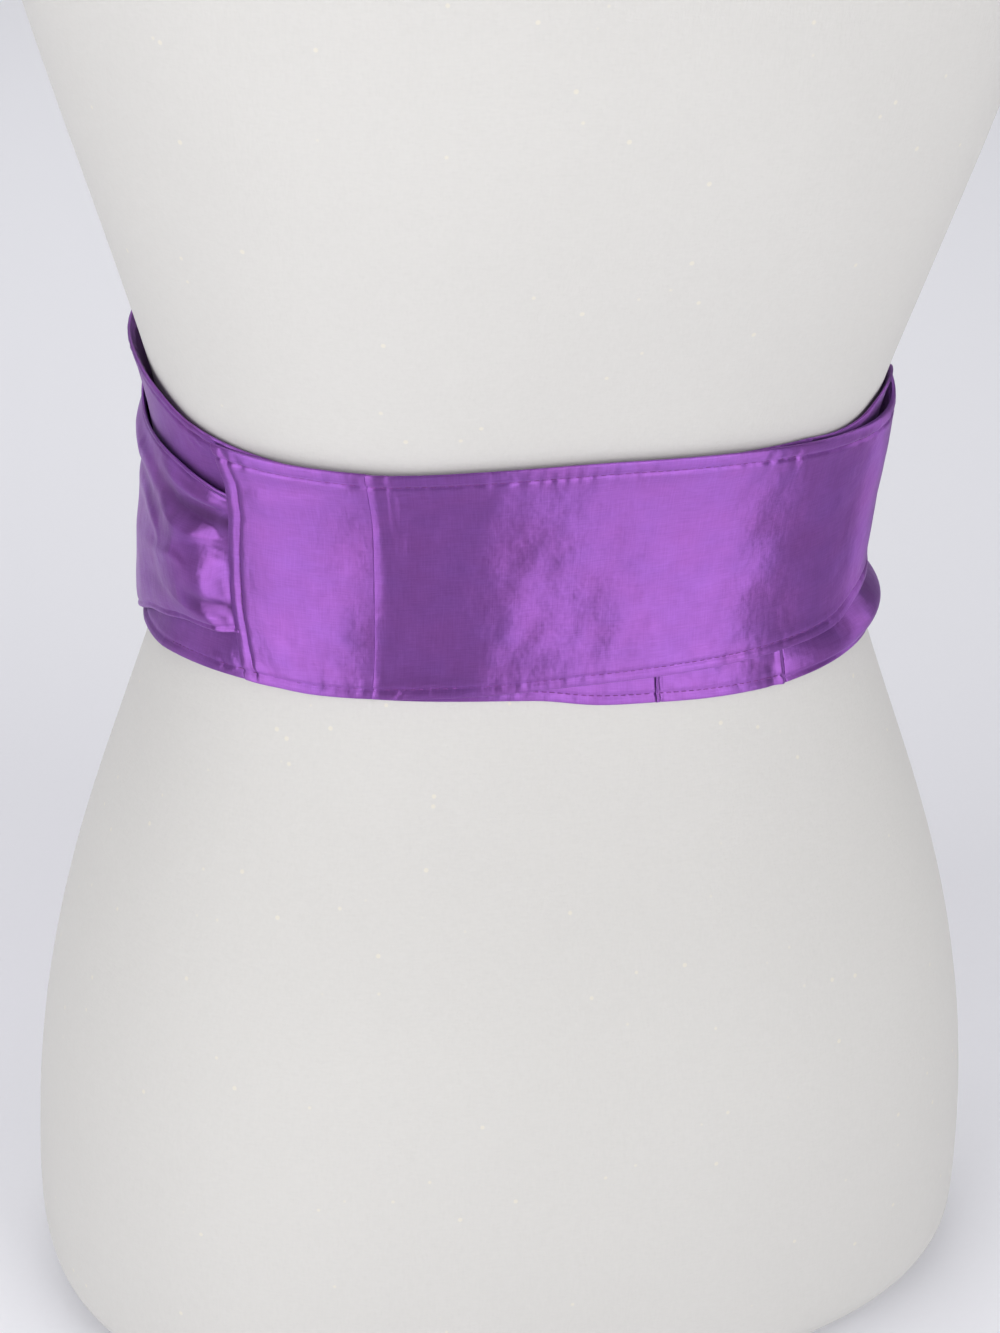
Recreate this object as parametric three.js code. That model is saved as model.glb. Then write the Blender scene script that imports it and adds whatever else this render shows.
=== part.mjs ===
// Satin sash worn on a limbless dress form.
// A wide flat band goes round the waist, crosses at the back, and runs on as two gathered ties
// that are knotted at the front. Millimetres, +Z up. The wearer's front faces -Y.
// The form stands on z = 0. Angles are in degrees round +Z: 0 is the wearer's left (+X), 90 the back.

import * as THREE from "three";

// Cloth sizes
const BAND_THICKNESS = 1.2;
const TIE_THICKNESS = 1.2;
const SEAM_GAP = 0.3;
const LAYER_GAP = 0.4;

// The flat band lies in two layers, and these are the distances of their inner faces from the form.
const FIRST_LAYER = LAYER_GAP;
const SECOND_LAYER = FIRST_LAYER + BAND_THICKNESS + LAYER_GAP;

// Mean radius of the waist, which turns a small length along the band into an angle
const WAIST_RADIUS = 100;
const DEGREE = Math.PI / 180;
const SEAM_ANGLE = SEAM_GAP / WAIST_RADIUS / DEGREE;

// Where each stretch of the band ends
const FRONT_LEFT_ANGLE = 310;
const FRONT_RIGHT_ANGLE = 222;
const INNER_SEAM_ANGLE = 108.3;
const INNER_END_ANGLE = 135;
const OUTER_SEAM_ANGLE = 50.3;

// Steps of the walls
const ANGLE_STEP = 3.75;
const BAND_ROWS = 6;
const TIE_ANGLE_STEP = 3.4;
const TIE_ROWS = 11;
const TAIL_ROWS = 16;
const TAIL_COLUMNS = 8;

// Dress form: half width, depth in front of and behind the side line, and squareness of each section
const FORM_EDGE_RADIUS = 19.5;
const FORM_TOP_RADIUS = 4;
const FORM_SIDES = 48;
const FORM_ROW_STEP = 30;
const FORM_CLOSE_ROW_STEP = 12;
const WAIST_ROWS_FROM = 200;
const WAIST_ROWS_TO = 332;
const SHOULDER_ROWS_FROM = 596;
const SHOULDER_ROWS_TO = 696;
const FORM_SECTIONS = [
  { height: 0, halfWidth: 156, front: 100, back: 115, squareness: 2.5 },
  { height: 45, halfWidth: 155.5, front: 98, back: 117, squareness: 2.5 },
  { height: 90, halfWidth: 151.5, front: 95, back: 115, squareness: 2.5 },
  { height: 140, halfWidth: 141, front: 92, back: 106, squareness: 2.5 },
  { height: 190, halfWidth: 124, front: 89, back: 87, squareness: 2.55 },
  { height: 218, halfWidth: 113, front: 88, back: 77.5, squareness: 2.55 },
  { height: 255, halfWidth: 104, front: 88, back: 73, squareness: 2.55 },
  { height: 300, halfWidth: 107, front: 93, back: 76, squareness: 2.55 },
  { height: 350, halfWidth: 120, front: 105, back: 92, squareness: 2.5 },
  { height: 410, halfWidth: 138, front: 116.2, back: 110, squareness: 2.4 },
  { height: 480, halfWidth: 157, front: 115.8, back: 117, squareness: 2.3 },
  { height: 540, halfWidth: 171, front: 106, back: 116, squareness: 2.3 },
  { height: 580, halfWidth: 176, front: 95, back: 111, squareness: 2.3 },
  { height: 608, halfWidth: 174, front: 86, back: 102, squareness: 2.3 },
  { height: 630, halfWidth: 161, front: 78, back: 93, squareness: 2.3 },
  { height: 646, halfWidth: 136, front: 71, back: 85, squareness: 2.25 },
  { height: 660, halfWidth: 104, front: 64, back: 77, squareness: 2.2 },
  { height: 673, halfWidth: 79, front: 59, back: 69, squareness: 2.1 },
  { height: 690, halfWidth: 64, front: 56, back: 63, squareness: 2 },
  { height: 730, halfWidth: 57, front: 54, back: 59, squareness: 2 },
];
const FORM_HEIGHT = FORM_SECTIONS[FORM_SECTIONS.length - 1].height;

// Band: its lower and upper edge, the distance of its inner face from the form, and how far
// the middle of its height stands further out
const FRONT_BAND = [
  { angle: 222, bottom: 237, top: 317, lift: FIRST_LAYER, billow: 0 },
  { angle: 240, bottom: 232.5, top: 318.5, lift: FIRST_LAYER, billow: 0 },
  { angle: 270, bottom: 230, top: 319.5, lift: FIRST_LAYER, billow: 0 },
  { angle: 292, bottom: 229, top: 320, lift: FIRST_LAYER, billow: 0 },
  { angle: 310, bottom: 228, top: 320, lift: 0.6, billow: 0 },
];
const INNER_BAND = [
  { angle: -50, bottom: 228, top: 320, lift: 0.6, billow: 0 },
  { angle: -35, bottom: 227, top: 320.5, lift: 1.4, billow: 0 },
  { angle: -12, bottom: 226, top: 321, lift: 2.4, billow: 0 },
  { angle: -2, bottom: 228.5, top: 321.5, lift: 2.4, billow: 0 },
  { angle: 5, bottom: 231, top: 321, lift: SECOND_LAYER, billow: 0 },
  { angle: 12, bottom: 234, top: 319.2, lift: 1.4, billow: 0 },
  { angle: 19, bottom: 236.2, top: 315.4, lift: 0.9, billow: 0 },
  { angle: 27, bottom: 237.6, top: 312.8, lift: 0.5, billow: 0 },
  { angle: 35, bottom: 238, top: 311, lift: FIRST_LAYER, billow: 0 },
  { angle: 50, bottom: 237.8, top: 308, lift: FIRST_LAYER, billow: 0 },
  { angle: 81, bottom: 236, top: 306, lift: FIRST_LAYER, billow: 0 },
  { angle: 95, bottom: 233, top: 307, lift: FIRST_LAYER, billow: 0 },
  { angle: 108, bottom: 231.8, top: 308.5, lift: FIRST_LAYER, billow: 0 },
  { angle: 121, bottom: 230.5, top: 309.8, lift: FIRST_LAYER, billow: 0 },
  { angle: 135, bottom: 229.6, top: 309.6, lift: FIRST_LAYER, billow: 0 },
];
const OUTER_BAND = [
  { angle: 24, bottom: 238.6, top: 312.4, lift: 2.1, billow: 0 },
  { angle: 40, bottom: 238.4, top: 311.4, lift: SECOND_LAYER, billow: 0 },
  { angle: 55, bottom: 238.8, top: 310.8, lift: SECOND_LAYER, billow: 0 },
  { angle: 69, bottom: 239.2, top: 311.8, lift: SECOND_LAYER, billow: 0 },
  { angle: 92, bottom: 240.2, top: 312.4, lift: SECOND_LAYER, billow: 0 },
  { angle: 113, bottom: 240.6, top: 311.4, lift: SECOND_LAYER, billow: 0 },
  { angle: 128, bottom: 240.9, top: 309.9, lift: SECOND_LAYER, billow: 0.3 },
  { angle: 140, bottom: 241.6, top: 308, lift: SECOND_LAYER, billow: 1 },
  { angle: 146, bottom: 243, top: 307.3, lift: 2.3, billow: 1.5 },
  { angle: 152, bottom: 246.2, top: 306.6, lift: 2.6, billow: 1.9 },
  { angle: 162, bottom: 248.5, top: 306.4, lift: 2.9, billow: 2.1 },
  { angle: 185, bottom: 249.5, top: 310.5, lift: 2.8, billow: 2 },
  { angle: 200, bottom: 247.5, top: 313.8, lift: 2.3, billow: 1 },
  { angle: 208, bottom: 244.5, top: 315.2, lift: 1, billow: 0.3 },
  { angle: 215, bottom: 240.8, top: 316.2, lift: 0.5, billow: 0 },
  { angle: 222, bottom: 237, top: 317, lift: FIRST_LAYER, billow: 0 },
];
// The free end of the outer band isn't quite upright: the angle of that edge by share of the height
const OUTER_END_LINE = [
  { share: 0, angle: 29.2 },
  { share: 0.12, angle: 27 },
  { share: 0.3, angle: 25.2 },
  { share: 0.5, angle: 25 },
  { share: 0.75, angle: 26.4 },
  { share: 1, angle: 25.4 },
];

// Ties: edges, distance of the inner face from the form, and how far the gathered middle swells
const TIE_TO_KNOT_ANGLE = 9.9;
const OUTER_TIE = [
  { angle: -82, bottom: 263.5, top: 291, lift: SECOND_LAYER, swell: 6 },
  { angle: -70, bottom: 257, top: 293, lift: SECOND_LAYER, swell: 5.5 },
  { angle: -55, bottom: 246, top: 298, lift: 2.2, swell: 5 },
  { angle: -40, bottom: 235, top: 302.5, lift: 2.9, swell: 5 },
  { angle: -25, bottom: 227.5, top: 306, lift: 3.6, swell: 5.4 },
  { angle: -16, bottom: 225, top: 307, lift: 4, swell: 5.8 },
  { angle: -9, bottom: 230, top: 306.8, lift: 4.1, swell: 5.8 },
  { angle: -2, bottom: 236.4, top: 306.4, lift: 4, swell: 5.2 },
  { angle: 7, bottom: 242.5, top: 305.6, lift: 3.6, swell: 4 },
  { angle: 15, bottom: 247.6, top: 304, lift: 3, swell: 2.6 },
  { angle: 20, bottom: 249.6, top: 301.8, lift: 2.6, swell: 1.6 },
  { angle: 24, bottom: 251, top: 297.8, lift: 2.4, swell: 0.8 },
  { angle: 30, bottom: 252.6, top: 296.2, lift: 2.2, swell: 0.2 },
];
const INNER_TIE = [
  { angle: 135, bottom: 229.6, top: 309.4, lift: FIRST_LAYER, swell: 0 },
  { angle: 142, bottom: 230.6, top: 308.4, lift: FIRST_LAYER, swell: 0 },
  { angle: 148, bottom: 231.4, top: 309.4, lift: FIRST_LAYER, swell: 0 },
  { angle: 153, bottom: 231.2, top: 312.6, lift: FIRST_LAYER, swell: 0 },
  { angle: 160, bottom: 230, top: 314, lift: FIRST_LAYER, swell: 0 },
  { angle: 168, bottom: 228, top: 311, lift: 0.6, swell: 0 },
  { angle: 176, bottom: 225.5, top: 294, lift: 0.8, swell: 0 },
  { angle: 184, bottom: 223, top: 270, lift: 0.8, swell: 0 },
  { angle: 190, bottom: 221, top: 253, lift: 0.8, swell: 0 },
  { angle: 194.5, bottom: 220, top: 245.5, lift: 0.8, swell: 0.4 },
  { angle: 199, bottom: 219, top: 242, lift: 1.1, swell: 2.4 },
  { angle: 204, bottom: 218.5, top: 241, lift: 1.6, swell: 4.4 },
  { angle: 210, bottom: 219, top: 241.5, lift: 2.4, swell: 5 },
  { angle: 216, bottom: 221.5, top: 246, lift: 2.8, swell: 5 },
  { angle: 222, bottom: 226.5, top: 254, lift: 2.6, swell: 5 },
  { angle: 232, bottom: 237, top: 267, lift: 2.2, swell: 5 },
  { angle: 246, bottom: 252, top: 283, lift: SECOND_LAYER, swell: 5.4 },
  { angle: 262, bottom: 263.5, top: 291, lift: SECOND_LAYER, swell: 6 },
];
// Below the outer band the inner tie puffs out
const TIE_PUFF = [
  { angle: 135, height: 235, rise: 0 },
  { angle: 141, height: 235.5, rise: 2 },
  { angle: 146, height: 236.5, rise: 3.6 },
  { angle: 152, height: 238, rise: 5.2 },
  { angle: 162, height: 238.5, rise: 5.6 },
  { angle: 184, height: 236, rise: 5 },
  { angle: 192, height: 233, rise: 4 },
  { angle: 200, height: 230, rise: 0 },
];
const TIE_PUFF_HALF_HEIGHT = 6.5;
// How the swell of a tie is spread over its height, from the lower edge up
const SWELL_SHAPE = [
  { share: 0, part: 0 },
  { share: 0.08, part: 0.42 },
  { share: 0.2, part: 0.78 },
  { share: 0.4, part: 1 },
  { share: 0.55, part: 0.84 },
  { share: 0.7, part: 0.72 },
  { share: 0.85, part: 0.74 },
  { share: 0.95, part: 0.4 },
  { share: 1, part: 0 },
];
// Folds of the ties: a line over the cloth, half its width, and how far it stands up or sinks in
const OUTER_TIE_FOLDS = [
  { fromAngle: 27, fromHeight: 285, toAngle: 0, toHeight: 288, halfWidth: 3.2, rise: -1.6 },
  { fromAngle: 27, fromHeight: 277, toAngle: 12, toHeight: 270, halfWidth: 4.5, rise: 2.4 },
  { fromAngle: 27, fromHeight: 262, toAngle: 13, toHeight: 269, halfWidth: 4, rise: 1.4 },
  { fromAngle: 12, fromHeight: 269, toAngle: -14, toHeight: 279, halfWidth: 5, rise: -1.2 },
  { fromAngle: -30, fromHeight: 282, toAngle: -80, toHeight: 281, halfWidth: 3, rise: -2.2 },
  { fromAngle: -25, fromHeight: 256, toAngle: -80, toHeight: 272, halfWidth: 3, rise: -2.2 },
];
const INNER_TIE_FOLDS = [
  { fromAngle: 198, fromHeight: 230, toAngle: 222, toHeight: 240, halfWidth: 2.6, rise: -1.8 },
  { fromAngle: 222, fromHeight: 240, toAngle: 260, toHeight: 273, halfWidth: 2.8, rise: -2.2 },
  { fromAngle: 236, fromHeight: 266, toAngle: 260, toHeight: 284, halfWidth: 2.6, rise: -1.6 },
];

// Knot: half sizes, and the height of its middle
const KNOT_HEIGHT = 277;
const KNOT_HALF_WIDTH = 17;
const KNOT_HALF_HEIGHT = 19.5;
const KNOT_DEPTH = 19;
const KNOT_SQUARENESS = 2.8;
const KNOT_SEGMENTS = 24;
const KNOT_RINGS = 14;
const KNOT_GROOVE_DEPTH = 0.09;
const KNOT_GROOVES = 2;

// Tails: the middle line and half width by height, and how far the folds stand out
const TAIL_TOP = KNOT_HEIGHT - KNOT_HALF_HEIGHT - SEAM_GAP;
const LEFT_TAIL = [
  { height: 38, middle: 33, halfWidth: 27, lift: 1, fold: 2.4 },
  { height: 110, middle: 30, halfWidth: 24.5, lift: 1, fold: 3 },
  { height: 180, middle: 23, halfWidth: 18.5, lift: 1.2, fold: 3.6 },
  { height: 230, middle: 13.5, halfWidth: 11.5, lift: 2.6, fold: 3.8 },
  { height: 260, middle: 6.5, halfWidth: 5.6, lift: 7, fold: 3.4 },
];
const RIGHT_TAIL = [
  { height: 52, middle: -31, halfWidth: 26.5, lift: 1, fold: 2.4 },
  { height: 120, middle: -27.5, halfWidth: 23.5, lift: 1, fold: 3 },
  { height: 185, middle: -21, halfWidth: 17.5, lift: 1.2, fold: 3.6 },
  { height: 230, middle: -13, halfWidth: 11, lift: 2.6, fold: 3.8 },
  { height: 260, middle: -6.5, halfWidth: 5.6, lift: 7, fold: 3.4 },
];
const TAIL_FOLDS = 1.5;
const TAIL_END_SLANT = 8;

const satin = new THREE.MeshStandardMaterial({ color: 0x9058b6, roughness: 0.35, metalness: 0 });
const cover = new THREE.MeshStandardMaterial({ color: 0xe4e3de, roughness: 0.9, metalness: 0 });

// Smooth value of one column of a table at a position along its key column
function valueAt(rows, key, column, position) {
  const last = rows.length - 1;
  let index = 0;
  while (index < last - 1 && position >= rows[index + 1][key]) {
    index += 1;
  }
  const slopeAt = (row) => {
    const before = rows[Math.max(row - 1, 0)];
    const after = rows[Math.min(row + 1, last)];
    return (after[column] - before[column]) / (after[key] - before[key]);
  };
  const from = rows[index];
  const to = rows[index + 1];
  const span = to[key] - from[key];
  const t = THREE.MathUtils.clamp((position - from[key]) / span, 0, 1);
  const easeOut = 2 * t ** 3 - 3 * t ** 2 + 1;
  const easeIn = 1 - easeOut;
  const bendOut = t ** 3 - 2 * t ** 2 + t;
  const bendIn = t ** 3 - t ** 2;
  const bend = bendOut * slopeAt(index) + bendIn * slopeAt(index + 1);
  return easeOut * from[column] + easeIn * to[column] + bend * span;
}

// How far the rounded lower and upper edge of the form draws a section in
function edgeInset(height) {
  const below = Math.max(FORM_EDGE_RADIUS - height, 0);
  const above = Math.max(height - (FORM_HEIGHT - FORM_TOP_RADIUS), 0);
  const base = FORM_EDGE_RADIUS - Math.sqrt(FORM_EDGE_RADIUS ** 2 - below ** 2);
  const crown = FORM_TOP_RADIUS - Math.sqrt(Math.max(FORM_TOP_RADIUS ** 2 - above ** 2, 0));
  return base + crown;
}

// The form's section at a height, made larger all round by an offset
function sectionAt(height, offset) {
  const inset = edgeInset(height);
  const size = (column) => valueAt(FORM_SECTIONS, "height", column, height);
  return {
    halfWidth: size("halfWidth") - inset + offset,
    front: size("front") - inset + offset,
    back: size("back") - inset + offset,
    squareness: size("squareness"),
  };
}

// A point at an offset from the form, by angle round it and height
function formPoint(angle, height, offset) {
  const section = sectionAt(height, offset);
  const x = Math.cos(angle * DEGREE);
  const y = Math.sin(angle * DEGREE);
  const depth = y >= 0 ? section.back : section.front;
  const power = section.squareness;
  const reach = (Math.abs(x) / section.halfWidth) ** power + (Math.abs(y) / depth) ** power;
  const radius = reach ** (-1 / power);
  return new THREE.Vector3(radius * x, radius * y, height);
}

// A point at an offset from the form's front, by its x and height
function frontPoint(x, height, offset) {
  const section = sectionAt(height, offset);
  const power = section.squareness;
  const share = 1 - (Math.abs(x) / section.halfWidth) ** power;
  return new THREE.Vector3(x, -section.front * share ** (1 / power), height);
}

// Signed volume of an indexed mesh, negative where its faces point inwards
function signedVolume(points, triangles) {
  let sum = 0;
  for (const [a, b, c] of triangles) {
    sum += points[a].dot(new THREE.Vector3().crossVectors(points[b], points[c])) / 6;
  }
  return sum;
}

function geometryOf(points, triangles) {
  const inwards = signedVolume(points, triangles) < 0;
  const outward = triangles.map(([a, b, c]) => (inwards ? [a, c, b] : [a, b, c]));
  const geometry = new THREE.BufferGeometry();
  const coordinates = points.flatMap((point) => point.toArray());
  geometry.setAttribute("position", new THREE.Float32BufferAttribute(coordinates, 3));
  geometry.setIndex(outward.flat());
  geometry.computeVertexNormals();
  return geometry;
}

// A closed wall between an inner and an outer face, each a grid of columns and rows of points
function wallGeometry(columns, rows, pointAt) {
  const points = [];
  for (const outer of [false, true]) {
    for (let column = 0; column <= columns; column += 1) {
      for (let row = 0; row <= rows; row += 1) {
        points.push(pointAt(column / columns, row / rows, outer));
      }
    }
  }
  const face = (columns + 1) * (rows + 1);
  const at = (column, row) => column * (rows + 1) + row;
  const triangles = [];
  const addQuad = (a, b, c, d) => {
    triangles.push([a, b, c], [a, c, d]);
  };
  for (let column = 0; column < columns; column += 1) {
    for (let row = 0; row < rows; row += 1) {
      const corners = [at(column, row), at(column + 1, row), at(column + 1, row + 1), at(column, row + 1)];
      const [a, b, c, d] = corners;
      addQuad(a, b, c, d);
      addQuad(a + face, d + face, c + face, b + face);
    }
  }
  const addRim = (from, to) => addQuad(from, from + face, to + face, to);
  for (let column = 0; column < columns; column += 1) {
    addRim(at(column, 0), at(column + 1, 0));
    addRim(at(column + 1, rows), at(column, rows));
  }
  for (let row = 0; row < rows; row += 1) {
    addRim(at(columns, row), at(columns, row + 1));
    addRim(at(0, row + 1), at(0, row));
  }
  return geometryOf(points, triangles);
}

function stepsBetween(from, to, step) {
  return Math.max(Math.round(Math.abs(to - from) / step), 2);
}

// A stretch of the flat band from one angle to another, which may differ along the height
function bandGeometry(table, fromLine, toLine, under = () => 0) {
  const columns = stepsBetween(fromLine(0.5), toLine(0.5), ANGLE_STEP);
  return wallGeometry(columns, BAND_ROWS, (along, across, outer) => {
    const angle = THREE.MathUtils.lerp(fromLine(across), toLine(across), along);
    const value = (column) => valueAt(table, "angle", column, angle);
    const height = THREE.MathUtils.lerp(value("bottom"), value("top"), across);
    const billow = value("billow") * Math.sin(Math.PI * (1 - across) ** 0.7);
    const offset = value("lift") + billow + under(angle, height) + (outer ? BAND_THICKNESS : 0);
    return formPoint(angle, height, offset);
  });
}

// How far a table of folds raises a tie at an angle and height
function foldRise(folds, angle, height) {
  let rise = 0;
  for (const fold of folds) {
    const alongX = (fold.toAngle - fold.fromAngle) * DEGREE * WAIST_RADIUS;
    const alongZ = fold.toHeight - fold.fromHeight;
    const x = (angle - fold.fromAngle) * DEGREE * WAIST_RADIUS;
    const z = height - fold.fromHeight;
    const length = Math.hypot(alongX, alongZ);
    const along = (x * alongX + z * alongZ) / length;
    const aside = (x * alongZ - z * alongX) / length;
    const past = Math.max(-along, along - length, 0);
    rise += fold.rise * Math.exp(-((aside / fold.halfWidth) ** 2) - (past / fold.halfWidth / 1.5) ** 2);
  }
  return rise;
}

// How far the inner tie puffs out below the outer band
function puffRise(angle, height) {
  const value = (column) => valueAt(TIE_PUFF, "angle", column, angle);
  const aside = (height - value("height")) / TIE_PUFF_HALF_HEIGHT;
  return Math.max(value("rise"), 0) * Math.exp(-(aside ** 2) * 1.3);
}

// A gathered tie from its seam line to the knot
function tieGeometry(table, folds, fromLine, toAngle, puff) {
  const columns = stepsBetween(fromLine(0.5), toAngle, TIE_ANGLE_STEP);
  return wallGeometry(columns, TIE_ROWS, (along, across, outer) => {
    const angle = THREE.MathUtils.lerp(fromLine(across), toAngle, along);
    const value = (column) => valueAt(table, "angle", column, angle);
    const height = THREE.MathUtils.lerp(value("bottom"), value("top"), across);
    const swell = Math.max(value("swell"), 0);
    const shape = valueAt(SWELL_SHAPE, "share", "part", across);
    const edgeFade = Math.min(1, swell / 2) * Math.sin(Math.PI * across) ** 0.5;
    const folded = foldRise(folds, angle, height) * edgeFade;
    const raised = Math.max(swell * shape + folded, 0) + puff(angle, height);
    return formPoint(angle, height, value("lift") + raised + (outer ? TIE_THICKNESS : 0));
  });
}

// A free end of a tie, hanging down the front from the knot
function tailGeometry(table) {
  const end = table[0].height;
  return wallGeometry(TAIL_ROWS, TAIL_COLUMNS, (along, across, outer) => {
    const slant = TAIL_END_SLANT * (0.5 - across) * Math.sign(table[0].middle) * along ** 4;
    const height = THREE.MathUtils.lerp(TAIL_TOP, end, along) + slant;
    const value = (column) => valueAt(table, "height", column, height);
    const x = value("middle") + value("halfWidth") * (2 * across - 1);
    const wave = 0.5 - 0.5 * Math.cos(2 * Math.PI * TAIL_FOLDS * across);
    const offset = value("lift") + value("fold") * wave + (outer ? TIE_THICKNESS : 0);
    return frontPoint(x, height, offset);
  });
}

// The knot: a rounded lump with slanting grooves, its back lying on the front band
function knotGeometry() {
  const points = [];
  const place = (side, out, up) => {
    const size = (value) => Math.abs(value) ** KNOT_SQUARENESS;
    const scale = (size(side) + size(out) + size(up)) ** (-1 / KNOT_SQUARENESS);
    const turn = Math.atan2(up, side);
    const wave = 0.5 + 0.5 * Math.cos(KNOT_GROOVES * turn - 1);
    const groove = 1 - KNOT_GROOVE_DEPTH * wave * Math.max(out, 0);
    const x = KNOT_HALF_WIDTH * side * scale * groove;
    const height = KNOT_HEIGHT + KNOT_HALF_HEIGHT * up * scale * groove;
    const offset = SECOND_LAYER + KNOT_DEPTH * 0.5 * (1 + out * scale * groove);
    return frontPoint(x, height, offset);
  };
  points.push(place(0, 1, 0));
  for (let ring = 1; ring < KNOT_RINGS; ring += 1) {
    const tilt = (Math.PI * ring) / KNOT_RINGS;
    for (let segment = 0; segment < KNOT_SEGMENTS; segment += 1) {
      const turn = (2 * Math.PI * segment) / KNOT_SEGMENTS;
      points.push(place(Math.sin(tilt) * Math.cos(turn), Math.cos(tilt), Math.sin(tilt) * Math.sin(turn)));
    }
  }
  points.push(place(0, -1, 0));
  return geometryOf(points, ringTriangles(KNOT_RINGS - 1, KNOT_SEGMENTS));
}

// Triangles of a stack of rings between a first and a last single point
function ringTriangles(rings, sides) {
  const triangles = [];
  const at = (ring, side) => 1 + ring * sides + (side % sides);
  const lastPoint = 1 + rings * sides;
  for (let side = 0; side < sides; side += 1) {
    triangles.push([0, at(0, side), at(0, side + 1)]);
    triangles.push([lastPoint, at(rings - 1, side + 1), at(rings - 1, side)]);
    for (let ring = 0; ring < rings - 1; ring += 1) {
      triangles.push([at(ring, side), at(ring + 1, side), at(ring + 1, side + 1)]);
      triangles.push([at(ring, side), at(ring + 1, side + 1), at(ring, side + 1)]);
    }
  }
  return triangles;
}

// Heights of the form's rings: close on the rounded edges, at the waist and at the shoulders
function formHeights() {
  const heights = [];
  for (const tilt of [0, 18, 36, 54, 72]) {
    heights.push(FORM_EDGE_RADIUS * (1 - Math.cos(tilt * DEGREE)));
  }
  let height = FORM_EDGE_RADIUS;
  while (height < FORM_HEIGHT - FORM_TOP_RADIUS - 1) {
    heights.push(height);
    const atWaist = height >= WAIST_ROWS_FROM && height < WAIST_ROWS_TO;
    const atShoulder = height >= SHOULDER_ROWS_FROM && height < SHOULDER_ROWS_TO;
    height += atWaist || atShoulder ? FORM_CLOSE_ROW_STEP : FORM_ROW_STEP;
  }
  for (const tilt of [0, 45, 90]) {
    heights.push(FORM_HEIGHT - FORM_TOP_RADIUS * (1 - Math.sin(tilt * DEGREE)));
  }
  return heights;
}

// The dress form: one smooth closed body from its flat base to its flat neck
function formGeometry() {
  const heights = formHeights();
  const points = [new THREE.Vector3(0, 0, 0)];
  for (const height of heights) {
    for (let side = 0; side < FORM_SIDES; side += 1) {
      points.push(formPoint((360 * side) / FORM_SIDES, height, 0));
    }
  }
  points.push(new THREE.Vector3(0, 0, FORM_HEIGHT));
  return geometryOf(points, ringTriangles(heights.length, FORM_SIDES));
}

const outerEndLine = (across) => valueAt(OUTER_END_LINE, "share", "angle", across);

// The outer tie is gathered, so its seam covers only part of the end's height
function outerTieSeamLine(across) {
  const seamBottom = valueAt(OUTER_TIE, "angle", "bottom", OUTER_TIE[OUTER_TIE.length - 1].angle);
  const seamTop = valueAt(OUTER_TIE, "angle", "top", OUTER_TIE[OUTER_TIE.length - 1].angle);
  const height = THREE.MathUtils.lerp(seamBottom, seamTop, across);
  const end = OUTER_BAND[0];
  return outerEndLine((height - end.bottom) / (end.top - end.bottom)) - 2 * SEAM_ANGLE;
}

const innerTieSeamLine = () => INNER_END_ANGLE + SEAM_ANGLE;
const noPuff = () => 0;

const sash = new THREE.Group();

function addPiece(name, geometry, material) {
  const mesh = new THREE.Mesh(geometry, material.clone());
  mesh.name = name;
  sash.add(mesh);
}

addPiece("dress_form", formGeometry(), cover);
addPiece(
  "band_front",
  bandGeometry(FRONT_BAND, () => FRONT_RIGHT_ANGLE, () => FRONT_LEFT_ANGLE),
  satin,
);
addPiece(
  "band_inner",
  bandGeometry(INNER_BAND, () => FRONT_LEFT_ANGLE - 360 + SEAM_ANGLE, () => INNER_SEAM_ANGLE),
  satin,
);
addPiece(
  "inner_end_piece",
  bandGeometry(INNER_BAND, () => INNER_SEAM_ANGLE + SEAM_ANGLE, () => INNER_END_ANGLE),
  satin,
);
addPiece(
  "band_outer",
  bandGeometry(OUTER_BAND, () => OUTER_SEAM_ANGLE, () => FRONT_RIGHT_ANGLE - SEAM_ANGLE, puffRise),
  satin,
);
addPiece(
  "outer_end_piece",
  bandGeometry(OUTER_BAND, outerEndLine, () => OUTER_SEAM_ANGLE - SEAM_ANGLE),
  satin,
);
addPiece(
  "outer_tie",
  tieGeometry(OUTER_TIE, OUTER_TIE_FOLDS, outerTieSeamLine, -90 + TIE_TO_KNOT_ANGLE, noPuff),
  satin,
);
addPiece(
  "inner_tie",
  tieGeometry(INNER_TIE, INNER_TIE_FOLDS, innerTieSeamLine, 270 - TIE_TO_KNOT_ANGLE, puffRise),
  satin,
);
addPiece("knot", knotGeometry(), satin);
addPiece("left_tail", tailGeometry(LEFT_TAIL), satin);
addPiece("right_tail", tailGeometry(RIGHT_TAIL), satin);

export default sash;
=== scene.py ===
"""Satin sash worn on a limbless dress form: cloth, stitching, materials, floor and light."""

import math

import bmesh
import bpy
import numpy as np
from bpy.props import FloatProperty, FloatVectorProperty, PointerProperty
from mathutils import Matrix, Vector


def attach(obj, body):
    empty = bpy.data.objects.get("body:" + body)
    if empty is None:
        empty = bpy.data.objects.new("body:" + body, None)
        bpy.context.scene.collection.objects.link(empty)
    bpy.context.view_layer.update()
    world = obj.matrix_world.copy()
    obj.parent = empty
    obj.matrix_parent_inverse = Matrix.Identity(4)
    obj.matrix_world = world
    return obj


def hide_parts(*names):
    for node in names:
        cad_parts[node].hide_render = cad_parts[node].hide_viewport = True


bl_info = {
    "name": "Satin sash",
    "version": (1, 0, 0),
    "blender": (4, 5, 0),
    "location": "3D View > Sidebar > Sash",
    "description": "Dresses a limbless form with a wrapped and knotted satin sash",
    "category": "Object",
}

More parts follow.
